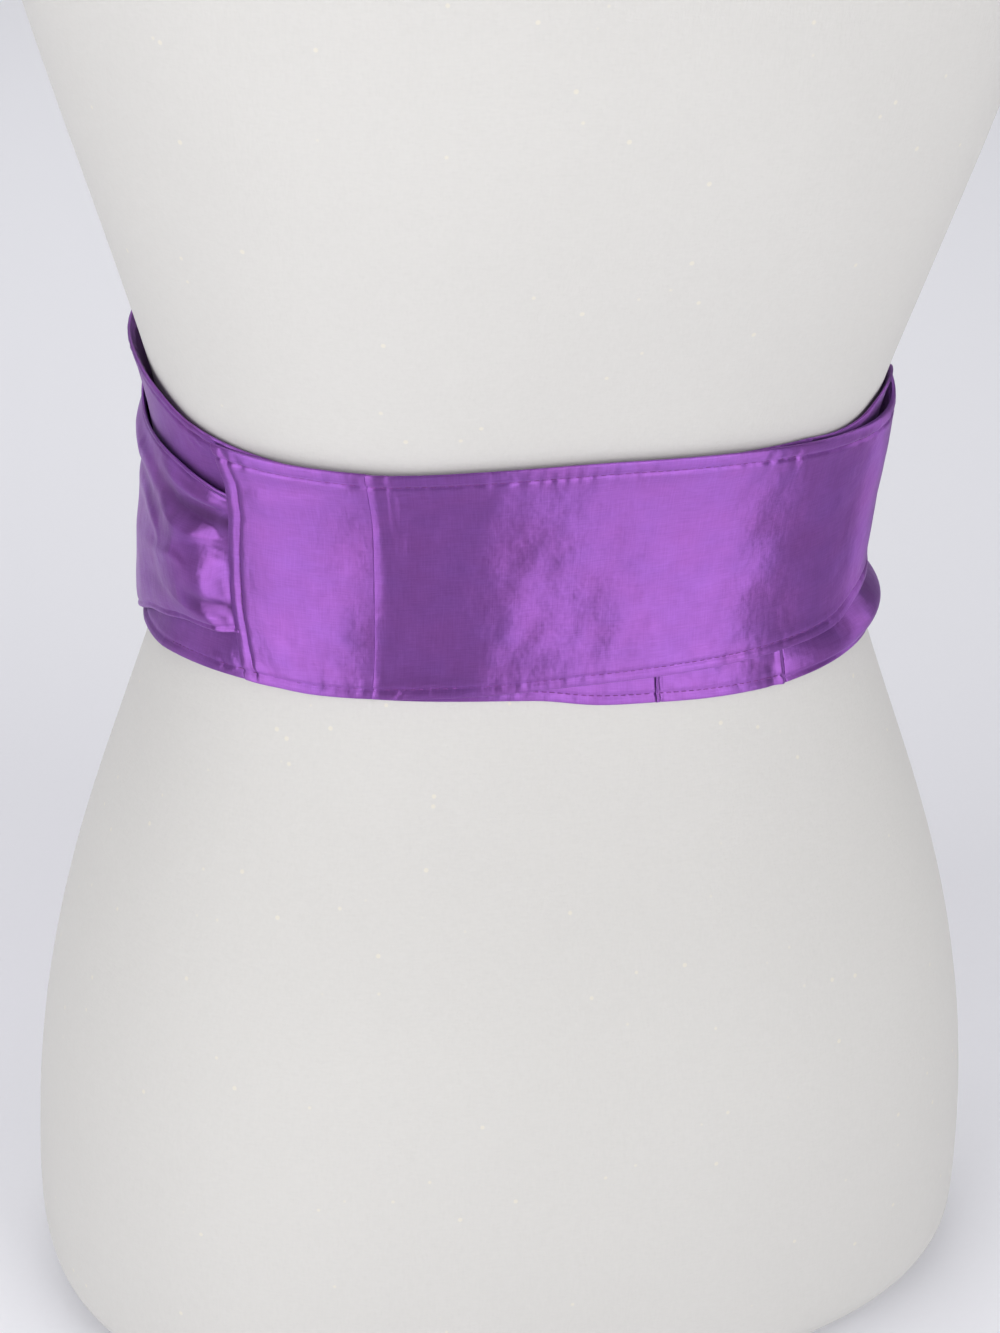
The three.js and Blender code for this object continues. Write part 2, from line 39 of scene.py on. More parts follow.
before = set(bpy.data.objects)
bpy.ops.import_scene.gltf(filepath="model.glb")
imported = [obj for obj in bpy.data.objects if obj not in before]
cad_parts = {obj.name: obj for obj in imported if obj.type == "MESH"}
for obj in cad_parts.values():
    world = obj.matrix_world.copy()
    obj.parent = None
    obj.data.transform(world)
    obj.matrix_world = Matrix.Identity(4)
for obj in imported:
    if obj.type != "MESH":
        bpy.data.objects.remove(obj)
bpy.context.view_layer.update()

# Lengths are in mm and angles in degrees, unless a name or comment says otherwise
MM = 0.001
WAIST_RADIUS = 100.0
FORM_EDGE_RADIUS = 19.5
ARC_PER_DEGREE = 1.43
CLEARANCE = 0.1
LEAST_BAND_LIFT = 0.25
LEAST_TIE_LIFT = 0.3

# Widths that the rows of a piece are counted over
BAND_WIDTH = 76.0
TIE_WIDTH = 80.0
TAIL_WIDTH = 60.0

# Where the random draws of each piece start
BAND_SEED = 11
OUTER_TIE_SEED = 31
INNER_TIE_SEED = 37
STITCH_SEED = 8


def clamp(value):
    """A value held between 0 and 1."""
    return np.clip(value, 0, 1)


def bell(value, middle, width):
    """A smooth bump of height 1 round a middle value."""
    return np.exp(-(((value - middle) / width) ** 2))


class Table:
    """Named columns, read smoothly along the first of them."""

    def __init__(self, columns, *rows):
        self.key = columns[0]
        self.columns = dict(zip(columns, np.array(rows, float).T))

    def at(self, name, position):
        """The smooth value of one column at a position along the key column."""
        keys = self.columns[self.key]
        values = self.columns[name]
        slopes = np.empty_like(values)
        slopes[1:-1] = (values[2:] - values[:-2]) / (keys[2:] - keys[:-2])
        slopes[0] = (values[1] - values[0]) / (keys[1] - keys[0])
        slopes[-1] = (values[-1] - values[-2]) / (keys[-1] - keys[-2])
        position = np.asarray(position, float)
        index = np.clip(np.searchsorted(keys, position, side="right") - 1, 0, len(keys) - 2)
        span = keys[index + 1] - keys[index]
        t = clamp((position - keys[index]) / span)
        ease_out = 2 * t**3 - 3 * t**2 + 1
        bend_out = t**3 - 2 * t**2 + t
        bend_in = t**3 - t**2
        bend = bend_out * slopes[index] + bend_in * slopes[index + 1]
        return ease_out * values[index] + (1 - ease_out) * values[index + 1] + bend * span


# The form: half width, depth in front of and behind the side line, and squareness of each section
FORM = Table(
    ("height", "half_width", "front", "back", "squareness"),
    (0, 156, 100, 115, 2.5), (45, 155.5, 98, 117, 2.5), (90, 151.5, 95, 115, 2.5),
    (140, 141, 92, 106, 2.5), (190, 124, 89, 87, 2.55), (218, 113, 88, 77.5, 2.55),
    (255, 104, 88, 73, 2.55), (300, 107, 93, 76, 2.55), (350, 120, 105, 92, 2.5),
    (410, 138, 116.2, 110, 2.4), (480, 157, 115.8, 117, 2.3), (540, 171, 106, 116, 2.3),
)

# The main band from its outer seam round the wearer's right side and front to its inner seam
MAIN_BAND = Table(
    ("angle", "bottom", "top", "lift", "billow"),
    (40, 238.4, 311.4, 2.0, 0), (55, 238.8, 310.8, 2.0, 0), (69, 239.2, 311.8, 2.0, 0),
    (92, 240.2, 312.4, 2.0, 0), (113, 240.6, 311.4, 2.0, 0), (128, 240.9, 309.9, 2.0, 0.3),
    (140, 241.6, 308, 2.0, 1), (146, 243, 307.3, 2.3, 1.5), (152, 246.2, 306.6, 2.6, 1.9),
    (162, 248.5, 306.4, 2.9, 2.1), (185, 249.5, 310.5, 2.8, 2), (200, 247.5, 313.8, 2.3, 1),
    (208, 244.5, 315.2, 1, 0.3), (215, 240.8, 316.2, 0.5, 0), (222, 237, 317, 0.4, 0),
    (240, 232.5, 318.5, 0.4, 0), (270, 230, 319.5, 0.4, 0), (292, 229, 320, 0.4, 0),
    (310, 228, 320, 0.6, 0), (325, 227, 320.5, 1.4, 0), (348, 226, 321, 2.4, 0),
    (358, 228.5, 321.5, 2.4, 0), (365, 231, 321, 2, 0), (372, 234, 319.2, 1.4, 0),
    (379, 236.2, 315.4, 0.9, 0), (387, 237.6, 312.8, 0.5, 0), (395, 238, 311, 0.4, 0),
    (410, 237.8, 308, 0.4, 0), (441, 236, 306, 0.4, 0), (455, 233, 307, 0.4, 0),
    (468, 231.8, 308.5, 0.4, 0), (481, 230.5, 309.8, 0.4, 0), (495, 229.6, 309.6, 0.4, 0),
)
OUTER_END = Table(
    ("angle", "bottom", "top", "lift", "billow"),
    (24, 238.6, 312.4, 2.1, 0), (40, 238.4, 311.4, 2.0, 0), (55, 238.8, 310.8, 2.0, 0),
)
OUTER_END_LINE = Table(
    ("share", "angle"),
    (0, 29.2), (0.12, 27), (0.3, 25.2), (0.5, 25), (0.75, 26.4), (1, 25.4),
)

OUTER_TIE = Table(
    ("angle", "bottom", "top", "lift", "swell"),
    (-82, 263.5, 291, 2, 6), (-70, 257, 293, 2, 5.5), (-55, 246, 298, 2.2, 5),
    (-40, 235, 302.5, 2.9, 5), (-25, 227.5, 302.6, 3.6, 5.4), (-16, 225, 299.4, 4, 5.8),
    (-9, 230, 297.6, 4.1, 5.8), (-2, 236.4, 298.2, 4, 5.2), (7, 242.5, 300, 3.6, 4),
    (15, 247.6, 299.8, 3, 2.6), (20, 249.6, 298.2, 2.6, 1.6), (24, 251, 296.8, 2.4, 0.3),
    (30, 252.6, 295.2, 2.2, 0),
)
INNER_TIE = Table(
    ("angle", "bottom", "top", "lift", "swell"),
    (135, 229.6, 309.4, 0.4, 0), (142, 230.6, 308.4, 0.4, 0), (148, 231.4, 309.4, 0.4, 0),
    (153, 231.2, 312.6, 0.4, 0), (160, 230, 314, 0.4, 0), (168, 228, 311, 0.6, 0),
    (176, 225.5, 294, 0.8, 0), (184, 223, 270, 0.8, 0), (190, 221, 253, 0.8, 0),
    (194.5, 220, 245.5, 0.8, 0.4), (199, 219, 242, 1.1, 2.4), (204, 218.5, 241, 1.6, 4.4),
    (210, 219, 241.5, 2.4, 5), (216, 221.5, 246, 2.8, 5), (222, 226.5, 254, 2.6, 5),
    (232, 237, 267, 2.2, 5), (246, 252, 283, 2, 5.4), (262, 263.5, 291, 2, 6),
)
TIE_PUFF = Table(
    ("angle", "height", "rise"),
    (135, 235, 0), (141, 235.5, 2), (146, 236.5, 3.6), (152, 238, 5.2), (162, 238.5, 5.6),
    (184, 236, 5), (192, 233, 4), (200, 230, 0),
)
SWELL_SHAPE = Table(
    ("share", "part"),
    (0, 0), (0.08, 0.42), (0.2, 0.78), (0.4, 1), (0.55, 0.86), (0.7, 0.66), (0.85, 0.4),
    (0.95, 0.12), (1, 0),
)
TAIL_COLUMNS = ("height", "middle", "half_width", "lift", "fold")
LEFT_TAIL = Table(
    TAIL_COLUMNS,
    (38, 33, 27, 1, 2.4), (110, 30, 24.5, 1, 3), (180, 23, 18.5, 1.2, 3.6),
    (230, 13.5, 11.5, 2.6, 3.8), (260, 6.5, 5.6, 7, 3.4),
)
RIGHT_TAIL = Table(
    TAIL_COLUMNS,
    (52, -31, 26.5, 1, 2.4), (120, -27.5, 23.5, 1, 3), (185, -21, 17.5, 1.2, 3.6),
    (230, -13, 11, 2.6, 3.8), (260, -6.5, 5.6, 7, 3.4),
)

# Stretches of the main band and how far apart its columns stand in each, in mm
MAIN_BAND_STRETCHES = (
    (50.31, 158, 0.9), (158, 328, 2.6), (328, 388, 0.9), (388, 436, 2.6), (436, 468.25, 0.9),
)
SEAM_ANGLE = 50.3
OUTER_END_SEAM = 50.29
INNER_END_START = 468.35
INNER_END_STOP = 495.3

# Where the inner tie puffs out, and where the band over it ends
PUFF_START, PUFF_STOP, PUFFED_BAND_STOP = 135, 200, 215

# The ties run to these angles, beside the knot
OUTER_TIE_STOP = -80.1
INNER_TIE_START = 135.25

# Knot and tails at the front
KNOT_HEIGHT = 277
KNOT_HALF_WIDTH, KNOT_HALF_HEIGHT, KNOT_HALF_DEPTH, KNOT_LIFT = 17, 19.5, 9.5, 2.0
TAIL_TOP = 257.2

# Soft ridges and troughs. Each is a line of points: angle, height, rise, width.
# Where there are two widths, the first is above the line and the second below it
BAND_FOLDS = (
    # Ridge and pucker beside the outer seam
    (
        (51.7, 312, 0.4, 2, 1.8), (51.9, 291, 0.3, 2, 1.8), (52, 262, 0.15, 2.4, 2),
        (51.8, 240, 0.25, 2, 1.8),
    ),
    ((54.3, 312, 0.35, 1.2), (54.0, 299, 0.3, 1.2), (53.8, 290, 0, 1.2)),
    ((52.9, 309, -0.25, 1.2), (52.9, 292, -0.2, 1.2), (53, 284, 0, 1.2)),
    ((54.2, 238, 0.4, 1), (56.4, 242, 0.25, 1), (57.6, 245, 0, 1)),
    # Slack beside the seam
    ((58, 300, -0.55, 9), (64, 292, -0.45, 9)),
    ((57, 249, -0.5, 8), (62, 247, -0.4, 8)),
    ((70, 262, 0.35, 12), (86, 284, 0.3, 14)),
    ((100, 250, 0.3, 10), (118, 262, 0.35, 12)),
    # Puckers at the top hem on the wearer's right
    ((132.8, 305, 0.25, 0.8), (134.2, 298, 0.15, 0.8)),
    ((131.4, 305.5, -0.2, 0.9), (132.4, 300, 0, 0.9)),
)
OUTER_END_FOLDS = (
    # Slack under the hem and at the lower corner
    ((28, 299, -0.45, 3), (34, 302, -0.45, 3), (42, 304.5, -0.3, 3)),
    ((30, 257, -0.35, 4), (32.6, 249, -0.5, 5), (35.2, 240, -0.45, 5)),
)
# Fullness of the outer end, falling away at its lower corner
OUTER_END_FULLNESS = (
    ((27.5, 266, 0, 4, 5), (30, 258.5, 0.8, 6), (33, 250, 1.1, 6), (37, 240, 0.9, 6)),
    ((27, 296, 0.2, 3, 4), (33, 299, 0.5, 3, 5), (40, 301, 0, 3, 4)),
)
INNER_FOLDS = (
    # Crumpled corner of the inner stretch beside the outer end
    ((381.5, 310.6, 0.45, 0.9), (383.6, 307.2, 0.5, 0.9), (385.6, 303.6, 0.2, 0.9)),
    ((383.4, 311.2, 0.4, 0.8), (386.2, 308.4, 0.5, 0.8)),
    ((382.4, 308.8, -0.35, 0.7), (384.8, 305.6, -0.35, 0.7)),
    ((385.4, 309.9, -0.4, 0.7), (387.6, 306.4, -0.35, 0.7)),
    ((379.6, 309.2, 0.3, 0.8), (381.8, 305.6, 0.2, 0.8)),
    ((384.2, 303.2, 0.35, 0.8), (387, 301.2, 0.3, 0.8)),
    ((386.2, 240.5, 0.35, 0.8), (384.6, 244.6, 0.25, 0.8)),
    ((384.4, 239.2, -0.3, 0.7), (382.8, 243.4, -0.2, 0.7)),
    ((382.9, 238.6, 0.3, 0.8), (381.2, 242.4, 0.15, 0.8)),
)
INNER_END_FOLDS = (
    # Folded seam at the start, gathered ridge and sunk stitching at the end
    ((468.6, 245, 0.2, 0.7), (468.6, 228, 0.2, 0.7)),
    ((469.35, 245, -0.4, 0.35), (469.35, 228, -0.4, 0.35)),
    ((494.0, 245, 0.55, 1.1, 0.7), (494.2, 237, 0.6, 1.1, 0.7), (494.4, 228, 0.45, 1.1, 0.7)),
    ((495.0, 245, -0.35, 0.4), (495.0, 228, -0.35, 0.4)),
    ((492.4, 236, -0.25, 1.5), (492.6, 230, -0.25, 1.5)),
)
OUTER_TIE_FOLDS = (
    # Valley that runs into the gathers below the top hem, and the strip above it
    (
        (2, 291, 0, 5), (8, 287.5, -1.2, 4.5, 4), (14, 285, -2.2, 4, 3.5),
        (20, 286.4, -2.6, 3, 3.6), (28, 286.6, -2.4, 2.4, 2.8),
    ),
    ((8, 295.5, 0, 2.4), (14, 293.8, 1.0, 2.2), (20, 292.4, 1.5, 2.2), (28, 291.2, 1.2, 2)),
    # The side swells out below the top hem
    ((-24, 291, 0, 5, 6), (-12, 291, 1.8, 4, 8), (-3, 289.5, 2.0, 4, 8), (6, 288, 0, 3, 5)),
    # Second valley and ridge just above the lower edge
    (
        (15.5, 258.4, 0, 3.5), (20, 258.4, -1.4, 2.8), (24, 259.0, -1.8, 2.2, 2.4),
        (28, 259, -1.4, 2),
    ),
    # Soft crests on the side
    ((-12, 275, 0.2, 3.5), (-2, 274, 0.7, 2.4, 2.6), (5.3, 271.8, 0.7, 2, 2.6), (9, 267.5, 0, 2)),
    (
        (-10, 256, 0, 3), (0, 261, 0.4, 2.6), (7, 264.6, 0.8, 2, 2.6), (14.6, 270, 0.9, 1.6, 2.2),
        (17, 270, 0.5, 1, 2),
    ),
    ((12, 276, -0.5, 5), (0, 279, -1.2, 5), (-14, 282, -1.0, 5)),
    ((-6, 246, 0, 4), (4, 252, -0.6, 4), (14, 256, -0.4, 4)),
    # Hidden side: creases that run on to the knot
    ((-30, 282, -0.8, 3), (-56, 283, -1.6, 3), (-80, 281, -1.4, 2.4)),
    ((-25, 256, -0.8, 3.4), (-52, 264, -1.6, 3), (-80, 272, -1.4, 2.4)),
)
# Folds that open from a point and fall away to the end of the band
OUTER_TIE_DARTS = (
    (
        (14.4, 272, 0, 2), (17, 273.8, -0.9, 2.4, 4.4), (19, 275.4, -1.7, 2.8, 7),
        (21, 277, -2.4, 3.2, 9.6), (23, 278.6, -2.9, 3.6, 12), (26, 281, -3.3, 4, 15),
    ),
    ((20.5, 258, 0, 1.6, 2), (23.5, 258.6, -1.2, 2, 4), (26.5, 259.4, -2, 2.2, 5.4)),
)
# A trough this deep or deeper gets the full painted shade, the satin's colour darkened as if shaded
PAINTED_SHADE_DEPTH = 2.4
# How much prouder the outer tie stands close to its gathers, by angle
ROOT_FULLNESS = Table(
    ("angle", "rise"),
    (4, 0), (9, 1.0), (14, 2.6), (18, 3.4), (22, 3.8), (25, 3.6), (28, 3.2),
)
INNER_TIE_FOLDS = (
    # Fine gathers at the inner end
    ((135.5, 237.2, 0.3, 0.6), (138.4, 237.6, 0, 0.6)),
    ((135.5, 234.8, 0.35, 0.6), (139.4, 235.4, 0, 0.6)),
    ((135.5, 232.4, 0.3, 0.6), (138.6, 232.4, 0, 0.6)),
    ((140, 240, 0, 1.6), (147, 240.4, 0.4, 1.6), (156, 243, 0.2, 1.8)),
    ((144, 234, 0, 2), (154, 236, -0.5, 2), (172, 236.5, -0.4, 2)),
    # Hidden side: creases that run on to the knot
    ((196, 229, -0.6, 2.6), (208, 234, -1.5, 2.6), (222, 240, -1.6, 2.8), (260, 273, -1.6, 2.4)),
    ((214, 231, 0, 2.6), (236, 262, -1.4, 2.8), (260, 281, -1.4, 2.2)),
)

# Camera that stands where the photo's camera stood
CAMERA_AZIMUTH = 14.05
CAMERA_ELEVATION = 27.69
CAMERA_ROLL = 1.46
CAMERA_TARGET = (3.4, 0, 207.5)
CAMERA_DISTANCE = 948.9
CAMERA_LENS = 81.2


def form_section(height, offset):
    """Half width, depths and squareness of the form at a height, made larger by an offset."""
    below = np.maximum(FORM_EDGE_RADIUS - height, 0)
    inset = FORM_EDGE_RADIUS - np.sqrt(np.maximum(FORM_EDGE_RADIUS**2 - below**2, 0))
    grow = offset - inset
    return (
        FORM.at("half_width", height) + grow,
        FORM.at("front", height) + grow,
        FORM.at("back", height) + grow,
        FORM.at("squareness", height),
    )


def form_point(angle, height, offset):
    """Points at an offset from the form, by angle round it and height, in mm."""
    angle, height, offset = np.broadcast_arrays(np.radians(angle), height, offset)
    half_width, front, back, power = form_section(height, offset)
    x, y = np.cos(angle), np.sin(angle)
    depth = np.where(y >= 0, back, front)
    radius = ((np.abs(x) / half_width) ** power + (np.abs(y) / depth) ** power) ** (-1 / power)
    return np.stack([radius * x, radius * y, height], axis=-1)


def front_point(x, height, offset):
    """Points at an offset from the form's front, by x and height, in mm."""
    x, height, offset = np.broadcast_arrays(x, height, offset)
    half_width, front, _, power = form_section(height, offset)
    share = 1 - (np.abs(x) / half_width) ** power
    return np.stack([x, -front * share ** (1 / power), height], axis=-1)


def fold_rise(angle, height, folds):
    """Rise of the cloth over a set of soft ridges and troughs."""
    x = np.radians(angle) * WAIST_RADIUS
    total = np.zeros(np.broadcast(x, height).shape)
    for fold in folds:
        nearest = np.full(total.shape, np.inf)
        rise = np.zeros(total.shape)
        for start, end in zip(fold[:-1], fold[1:]):
            start_x, end_x = (math.radians(point[0]) * WAIST_RADIUS for point in (start, end))
            dx, dz = end_x - start_x, end[1] - start[1]
            along = ((x - start_x) * dx + (height - start[1]) * dz) / (dx * dx + dz * dz)
            along = clamp(along)
            aside = (dx * (height - start[1]) - dz * (x - start_x)) * np.sign(dx or 1)
            distance = np.hypot(x - start_x - along * dx, height - start[1] - along * dz)
            peak, above, below = (start[i] + along * (end[i] - start[i]) for i in (2, 3, -1))
            here = peak * bell(distance, 0, np.where(aside > 0, above, below))
            closer = distance < nearest
            rise = np.where(closer, here, rise)
            nearest = np.where(closer, distance, nearest)
        total += rise
    return total


def slack(angle, height, seed, size, height_of_waves):
    """Gentle uneven slackness of cloth: a few long waves in all directions."""
    rng = np.random.default_rng(seed)
    x = np.radians(angle) * WAIST_RADIUS
    total = np.zeros(np.broadcast(x, height).shape)
    for _ in range(14):
        turn, length = rng.uniform(0, math.pi), size * rng.uniform(0.6, 1.7)
        phase = rng.uniform(0, 2 * math.pi)
        wave = 2 * math.pi * (x * math.cos(turn) + height * math.sin(turn)) / length
        total += np.sin(wave + phase)
    return total * height_of_waves / 3


def hem_rise(along, inward, stitch, seed, puffed=0.34, puckered=0.042):
    """Puffed hem beside an edge, with the topstitch sunk in and small puckers across it."""
    puff = puffed * np.sin(np.pi * clamp(inward / stitch)) ** 0.8
    line = -0.55 * bell(inward, stitch, 0.45)
    beside = 0.14 * bell(inward - stitch, 1.7, 1.2)
    rng = np.random.default_rng(seed)
    waves = 0
    for _ in range(5):
        length, phase = rng.uniform(3.2, 8.5), rng.uniform(0, 2 * math.pi)
        waves = waves + np.sin(2 * math.pi * along / length + phase)
    pucker = puckered * waves * bell(inward, stitch, 2.2)
    return puff + line + beside + pucker


def puff_rise(angle, height):
    """How far the inner tie puffs out below the outer band."""
    aside = (height - TIE_PUFF.at("height", angle)) / 6.5
    inside = (angle > PUFF_START) & (angle < PUFF_STOP)
    rise = np.maximum(TIE_PUFF.at("rise", angle), 0) * np.exp(-1.3 * aside**2)
    return np.where(inside, rise, 0)


def spread(length, rim, fine, fine_step, step):
    """Distances across a strip: crowded in the rounded rims, close in the hems, wider between."""
    start = [0, 0.12 * rim, 0.45 * rim]
    hem = list(np.arange(rim, fine, fine_step))
    count = max(2, round((length - 2 * fine) / step))
    middle = list(np.linspace(fine, length - fine, count + 1))
    return np.array(start + hem + middle + [length - d for d in reversed(start + hem)])


def rim_share(distance, length, rim):
    """Share of the cloth's thickness at a distance from either end, rounded at the edge."""
    inward = clamp(np.minimum(distance, length - distance) / rim)
    return np.sqrt(np.maximum(1 - (1 - inward) ** 2, 0))


def arc_lengths(points):
    """Running length along the first direction of a grid of points, in mm."""
    steps = np.linalg.norm(np.diff(points, axis=0), axis=-1)
    return np.concatenate([np.zeros((1, points.shape[1])), np.cumsum(steps, axis=0)])


def volume_of(mesh):
    """Signed volume of a mesh, negative where its faces point inwards."""
    work = bmesh.new()
    work.from_mesh(mesh)
    volume = work.calc_volume(signed=True)
    work.free()
    return volume


def face_outwards(piece):
    """Turns a closed piece's faces outwards."""
    if volume_of(piece.data) < 0:
        piece.data.flip_normals()
    if volume_of(piece.data) <= 0:
        raise RuntimeError(f"{piece.name} is not a closed wall")


def link_mesh(name, points, faces, material):
    """Makes a smooth object from points in mm and faces."""
    mesh = bpy.data.meshes.new(name)
    mesh.from_pydata((points * MM).tolist(), [], list(faces))
    mesh.polygons.foreach_set("use_smooth", np.ones(len(mesh.polygons), bool))
    mesh.update()
    made = bpy.data.objects.new(name, mesh)
    bpy.context.scene.collection.objects.link(made)
    mesh.materials.append(material)
    return made


def set_uv(mesh, uv):
    """Writes one cloth coordinate per vertex, in mm, as the piece's UV map in metres."""
    layer = mesh.uv_layers.new(name="Cloth")
    corners = np.empty(len(mesh.loops), np.int32)
    mesh.loops.foreach_get("vertex_index", corners)
    layer.data.foreach_set("uv", (uv[corners] * MM).astype(np.float32).ravel())


def half_thickness(distances, width, ends, thickness):
    """Half the cloth's thickness over a piece, rounded down to nothing all round its edge."""
    half = rim_share(distances, width, thickness / 2)[None, :] * ends * thickness / 2
    half[[0, -1]] = 0
    half[:, [0, -1]] = 0
    return half


def cloth_wall(name, place, across, height, middle, half, painted_shade=None):
    """A closed satin wall round its middle offset. Its two faces meet all round the edge."""
    inner = place(across, height, middle - half)
    outer = place(across, height, middle + half)
    columns, rows = half.shape
    inside = np.zeros((columns, rows), bool)
    inside[1:-1, 1:-1] = True
    outer_index = np.arange(columns * rows).reshape(columns, rows)
    inner_index = outer_index.copy()
    inner_index[inside] = columns * rows + np.arange(inside.sum())

    def quads(index, inwards):
        a, b, c, d = index[:-1, :-1], index[1:, :-1], index[1:, 1:], index[:-1, 1:]
        return np.stack((a, d, c, b) if inwards else (a, b, c, d), axis=-1).reshape(-1, 4)

    faces = np.concatenate([quads(outer_index, False), quads(inner_index, True)])
    points = np.concatenate([outer.reshape(-1, 3), inner[inside]])
    made = link_mesh(name, points, faces.tolist(), satin())
    along = arc_lengths(outer)[:, rows // 2]
    up = arc_lengths(outer.transpose(1, 0, 2)).T
    uv = np.stack([np.broadcast_to(along[:, None], up.shape), up], axis=-1)
    set_uv(made.data, np.concatenate([uv.reshape(-1, 2), uv[inside]]))
    # Painted shade, if given: how far the satin's colour is darkened at each point
    if painted_shade is not None:
        deep = made.data.attributes.new("PaintedShade", "FLOAT", "POINT")
        values = np.concatenate([painted_shade.ravel(), painted_shade[inside]])
        deep.data.foreach_set("value", values.astype(np.float32))
    face_outwards(made)
    return made, place(across, height, middle)


def finish_piece(piece, slot, *nodes):
    """Seats a finished piece on the body and hides the solids it stands for. The slot is not used.
    """
    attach(piece, "root")
    if nodes:
        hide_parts(*nodes)


def grid_area(points):
    """Area of one face of a grid of points, in square mm."""
    along = points[1:, :-1] - points[:-1, :-1]
    across = points[:-1, 1:] - points[:-1, :-1]
    return np.linalg.norm(np.cross(along, across), axis=-1).sum()


def outer_end_line(share):
    """Angle of the sash's outer end at a share of its width."""
    return OUTER_END_LINE.at("angle", share)


def size(name):
    """A size from the panel, in mm."""
    return getattr(bpy.context.scene.sash_sizes, name) / MM


def height_across(table, angle, share):
    """Height at a share of a strip's width, from its lower edge to its upper edge."""
    bottom, top = table.at("bottom", angle), table.at("top", angle)
    return bottom + (top - bottom) * share


class Band:
    """One flat stretch of the band: where its middle surface lies and how its hems are sewn."""

    def __init__(self, table, folds, fullness=(), end_line=None):
        self.table, self.folds, self.fullness, self.end_line = table, folds, fullness, end_line

    def stitch_lines(self, angle):
        """Distance of the lower and upper topstitch from their edges."""
        upper = np.interp(angle, (155, 345), (size("upper_stitch"), size("inner_stitch")))
        return size("lower_stitch"), upper

    def height(self, angle, share):
        """Height at a share of the band's width."""
        return height_across(self.table, angle, share)

    def offset(self, angle, share):
        """Offset of the cloth's middle from the form."""
        height = self.height(angle, share)
        from_bottom = height - self.table.at("bottom", angle)
        from_top = self.table.at("top", angle) - height
        from_edge = np.minimum(from_bottom, from_top)
        along = np.radians(angle) * WAIST_RADIUS
        lower, upper = self.stitch_lines(angle)
        rise = hem_rise(along, from_bottom, lower, BAND_SEED, 0.2, 0.022)
        rise = rise + hem_rise(along, from_top, upper, BAND_SEED + 1)
        calm = clamp(from_edge / 9)
        rise = rise + calm * slack(angle, height, BAND_SEED + 2, 34, 0.16)
        rise = rise + calm * slack(angle, height, BAND_SEED + 3, 13, 0.035)
        full = fold_rise(angle, height, self.fullness) * clamp((SEAM_ANGLE - angle) / 6)
        rise = rise + fold_rise(angle, height, self.folds) + full * calm
        if self.end_line is not None:
            inward = np.maximum((angle - self.end_line(share)) * ARC_PER_DEGREE, 0)
            end = hem_rise(height, inward, size("end_stitch"), BAND_SEED + 4, 0.2, 0.02)
            rise = rise + end * clamp(from_edge / 3)
        billow = self.table.at("billow", angle) * np.sin(np.pi * (1 - share) ** 0.7)
        puff = puff_rise(angle, height) * (angle < PUFFED_BAND_STOP)
        return self.table.at("lift", angle) + billow + puff + CLEARANCE + rise


def make_band(name, band, angle, rims, rests_on, *nodes):
    """A band piece over a grid of angles (columns) and distances across it (rows)."""
    distances = band_rows()
    thickness = size("band_thickness")
    share = np.broadcast_to(distances[None, :] / BAND_WIDTH, angle.shape)
    height = band.height(angle, share)
    centre = band.offset(angle, share) + thickness / 2
    centre = np.maximum(centre, thickness / 2 + LEAST_BAND_LIFT)
    along = arc_lengths(form_point(angle, height, 1.0))
    total = 2 * along[-1:]
    ends = rim_share(along, total, rims[0]) * rim_share(along + along[-1:], total, rims[1])
    half = half_thickness(distances, BAND_WIDTH, ends, thickness)
    piece, middle = cloth_wall(name, form_point, angle, height, centre, half)
    finish_piece(piece, "satin", *nodes)
    length = arc_lengths(middle).max()
    width = arc_lengths(middle.transpose(1, 0, 2)).max()
    area = min(grid_area(middle), length * width)


def read_along(place, run, values):
    """Reads a row of points or directions at one place along it."""
    return np.array([np.interp(place, run, values[:, axis]) for axis in range(3)])


def sew(name, lines):
    """Rows of topstitching. Each line is a run of points on the cloth and outward directions."""
    pitch, length, radius = size("stitch_pitch"), size("stitch_length"), size("thread_width") / 2
    turn = np.arange(6) * math.pi / 3
    rings = np.array([(-1, 0.3), (-0.7, 1), (0.7, 1), (1, 0.3)])
    sides = [(ring * 6 + side, ring * 6 + (side + 1) % 6) for ring in range(3) for side in range(6)]
    shape = [(a, b, b + 6, a + 6) for a, b in sides]
    shape += [tuple(range(5, -1, -1)), tuple(range(18, 24))]
    rng = np.random.default_rng(STITCH_SEED)
    points, faces = [], []
    for line, outward in lines:
        run = np.concatenate([[0], np.cumsum(np.linalg.norm(np.diff(line, axis=0), axis=1))])
        middles = (np.arange(int(run[-1] / pitch)) + 0.5) * pitch
        for middle in middles + rng.uniform(-0.08, 0.08, len(middles)):
            tail = read_along(middle - length / 2, run, line)
            tip = read_along(middle + length / 2, run, line)
            up = read_along(middle, run, outward)
            along = tip - tail
            aside = np.cross(along, up)
            aside /= np.linalg.norm(aside)
            up /= np.linalg.norm(up)
            around = radius * (np.cos(turn)[:, None] * aside + np.sin(turn)[:, None] * up)
            first = 24 * len(points)
            stitch = [(tail + tip) / 2 + place * along / 2 + size * around for place, size in rings]
            points.append(np.concatenate(stitch))
            faces += [tuple(first + corner for corner in face) for face in shape]
    piece = link_mesh(name, np.concatenate(points), faces, thread())
    face_outwards(piece)
    finish_piece(piece, "satin")


def sewing_line(place, angles, shares):
    """Points just above the cloth along a line of angles and shares, with outward directions."""
    beside = place(angles + 0.05, shares) - place(angles - 0.05, shares)
    across = place(angles, shares + 0.002) - place(angles, shares - 0.002)
    outward = np.cross(beside, across)
    outward /= np.linalg.norm(outward, axis=1)[:, None]
    return place(angles, shares) + 0.03 * outward, outward


def band_face(band, thickness):
    """The outer face of a band as a function of angle and share of its width."""

    def face(angle, share):
        offset = np.maximum(band.offset(angle, share), LEAST_BAND_LIFT) + thickness
        return form_point(angle, band.height(angle, share), offset)

    return face


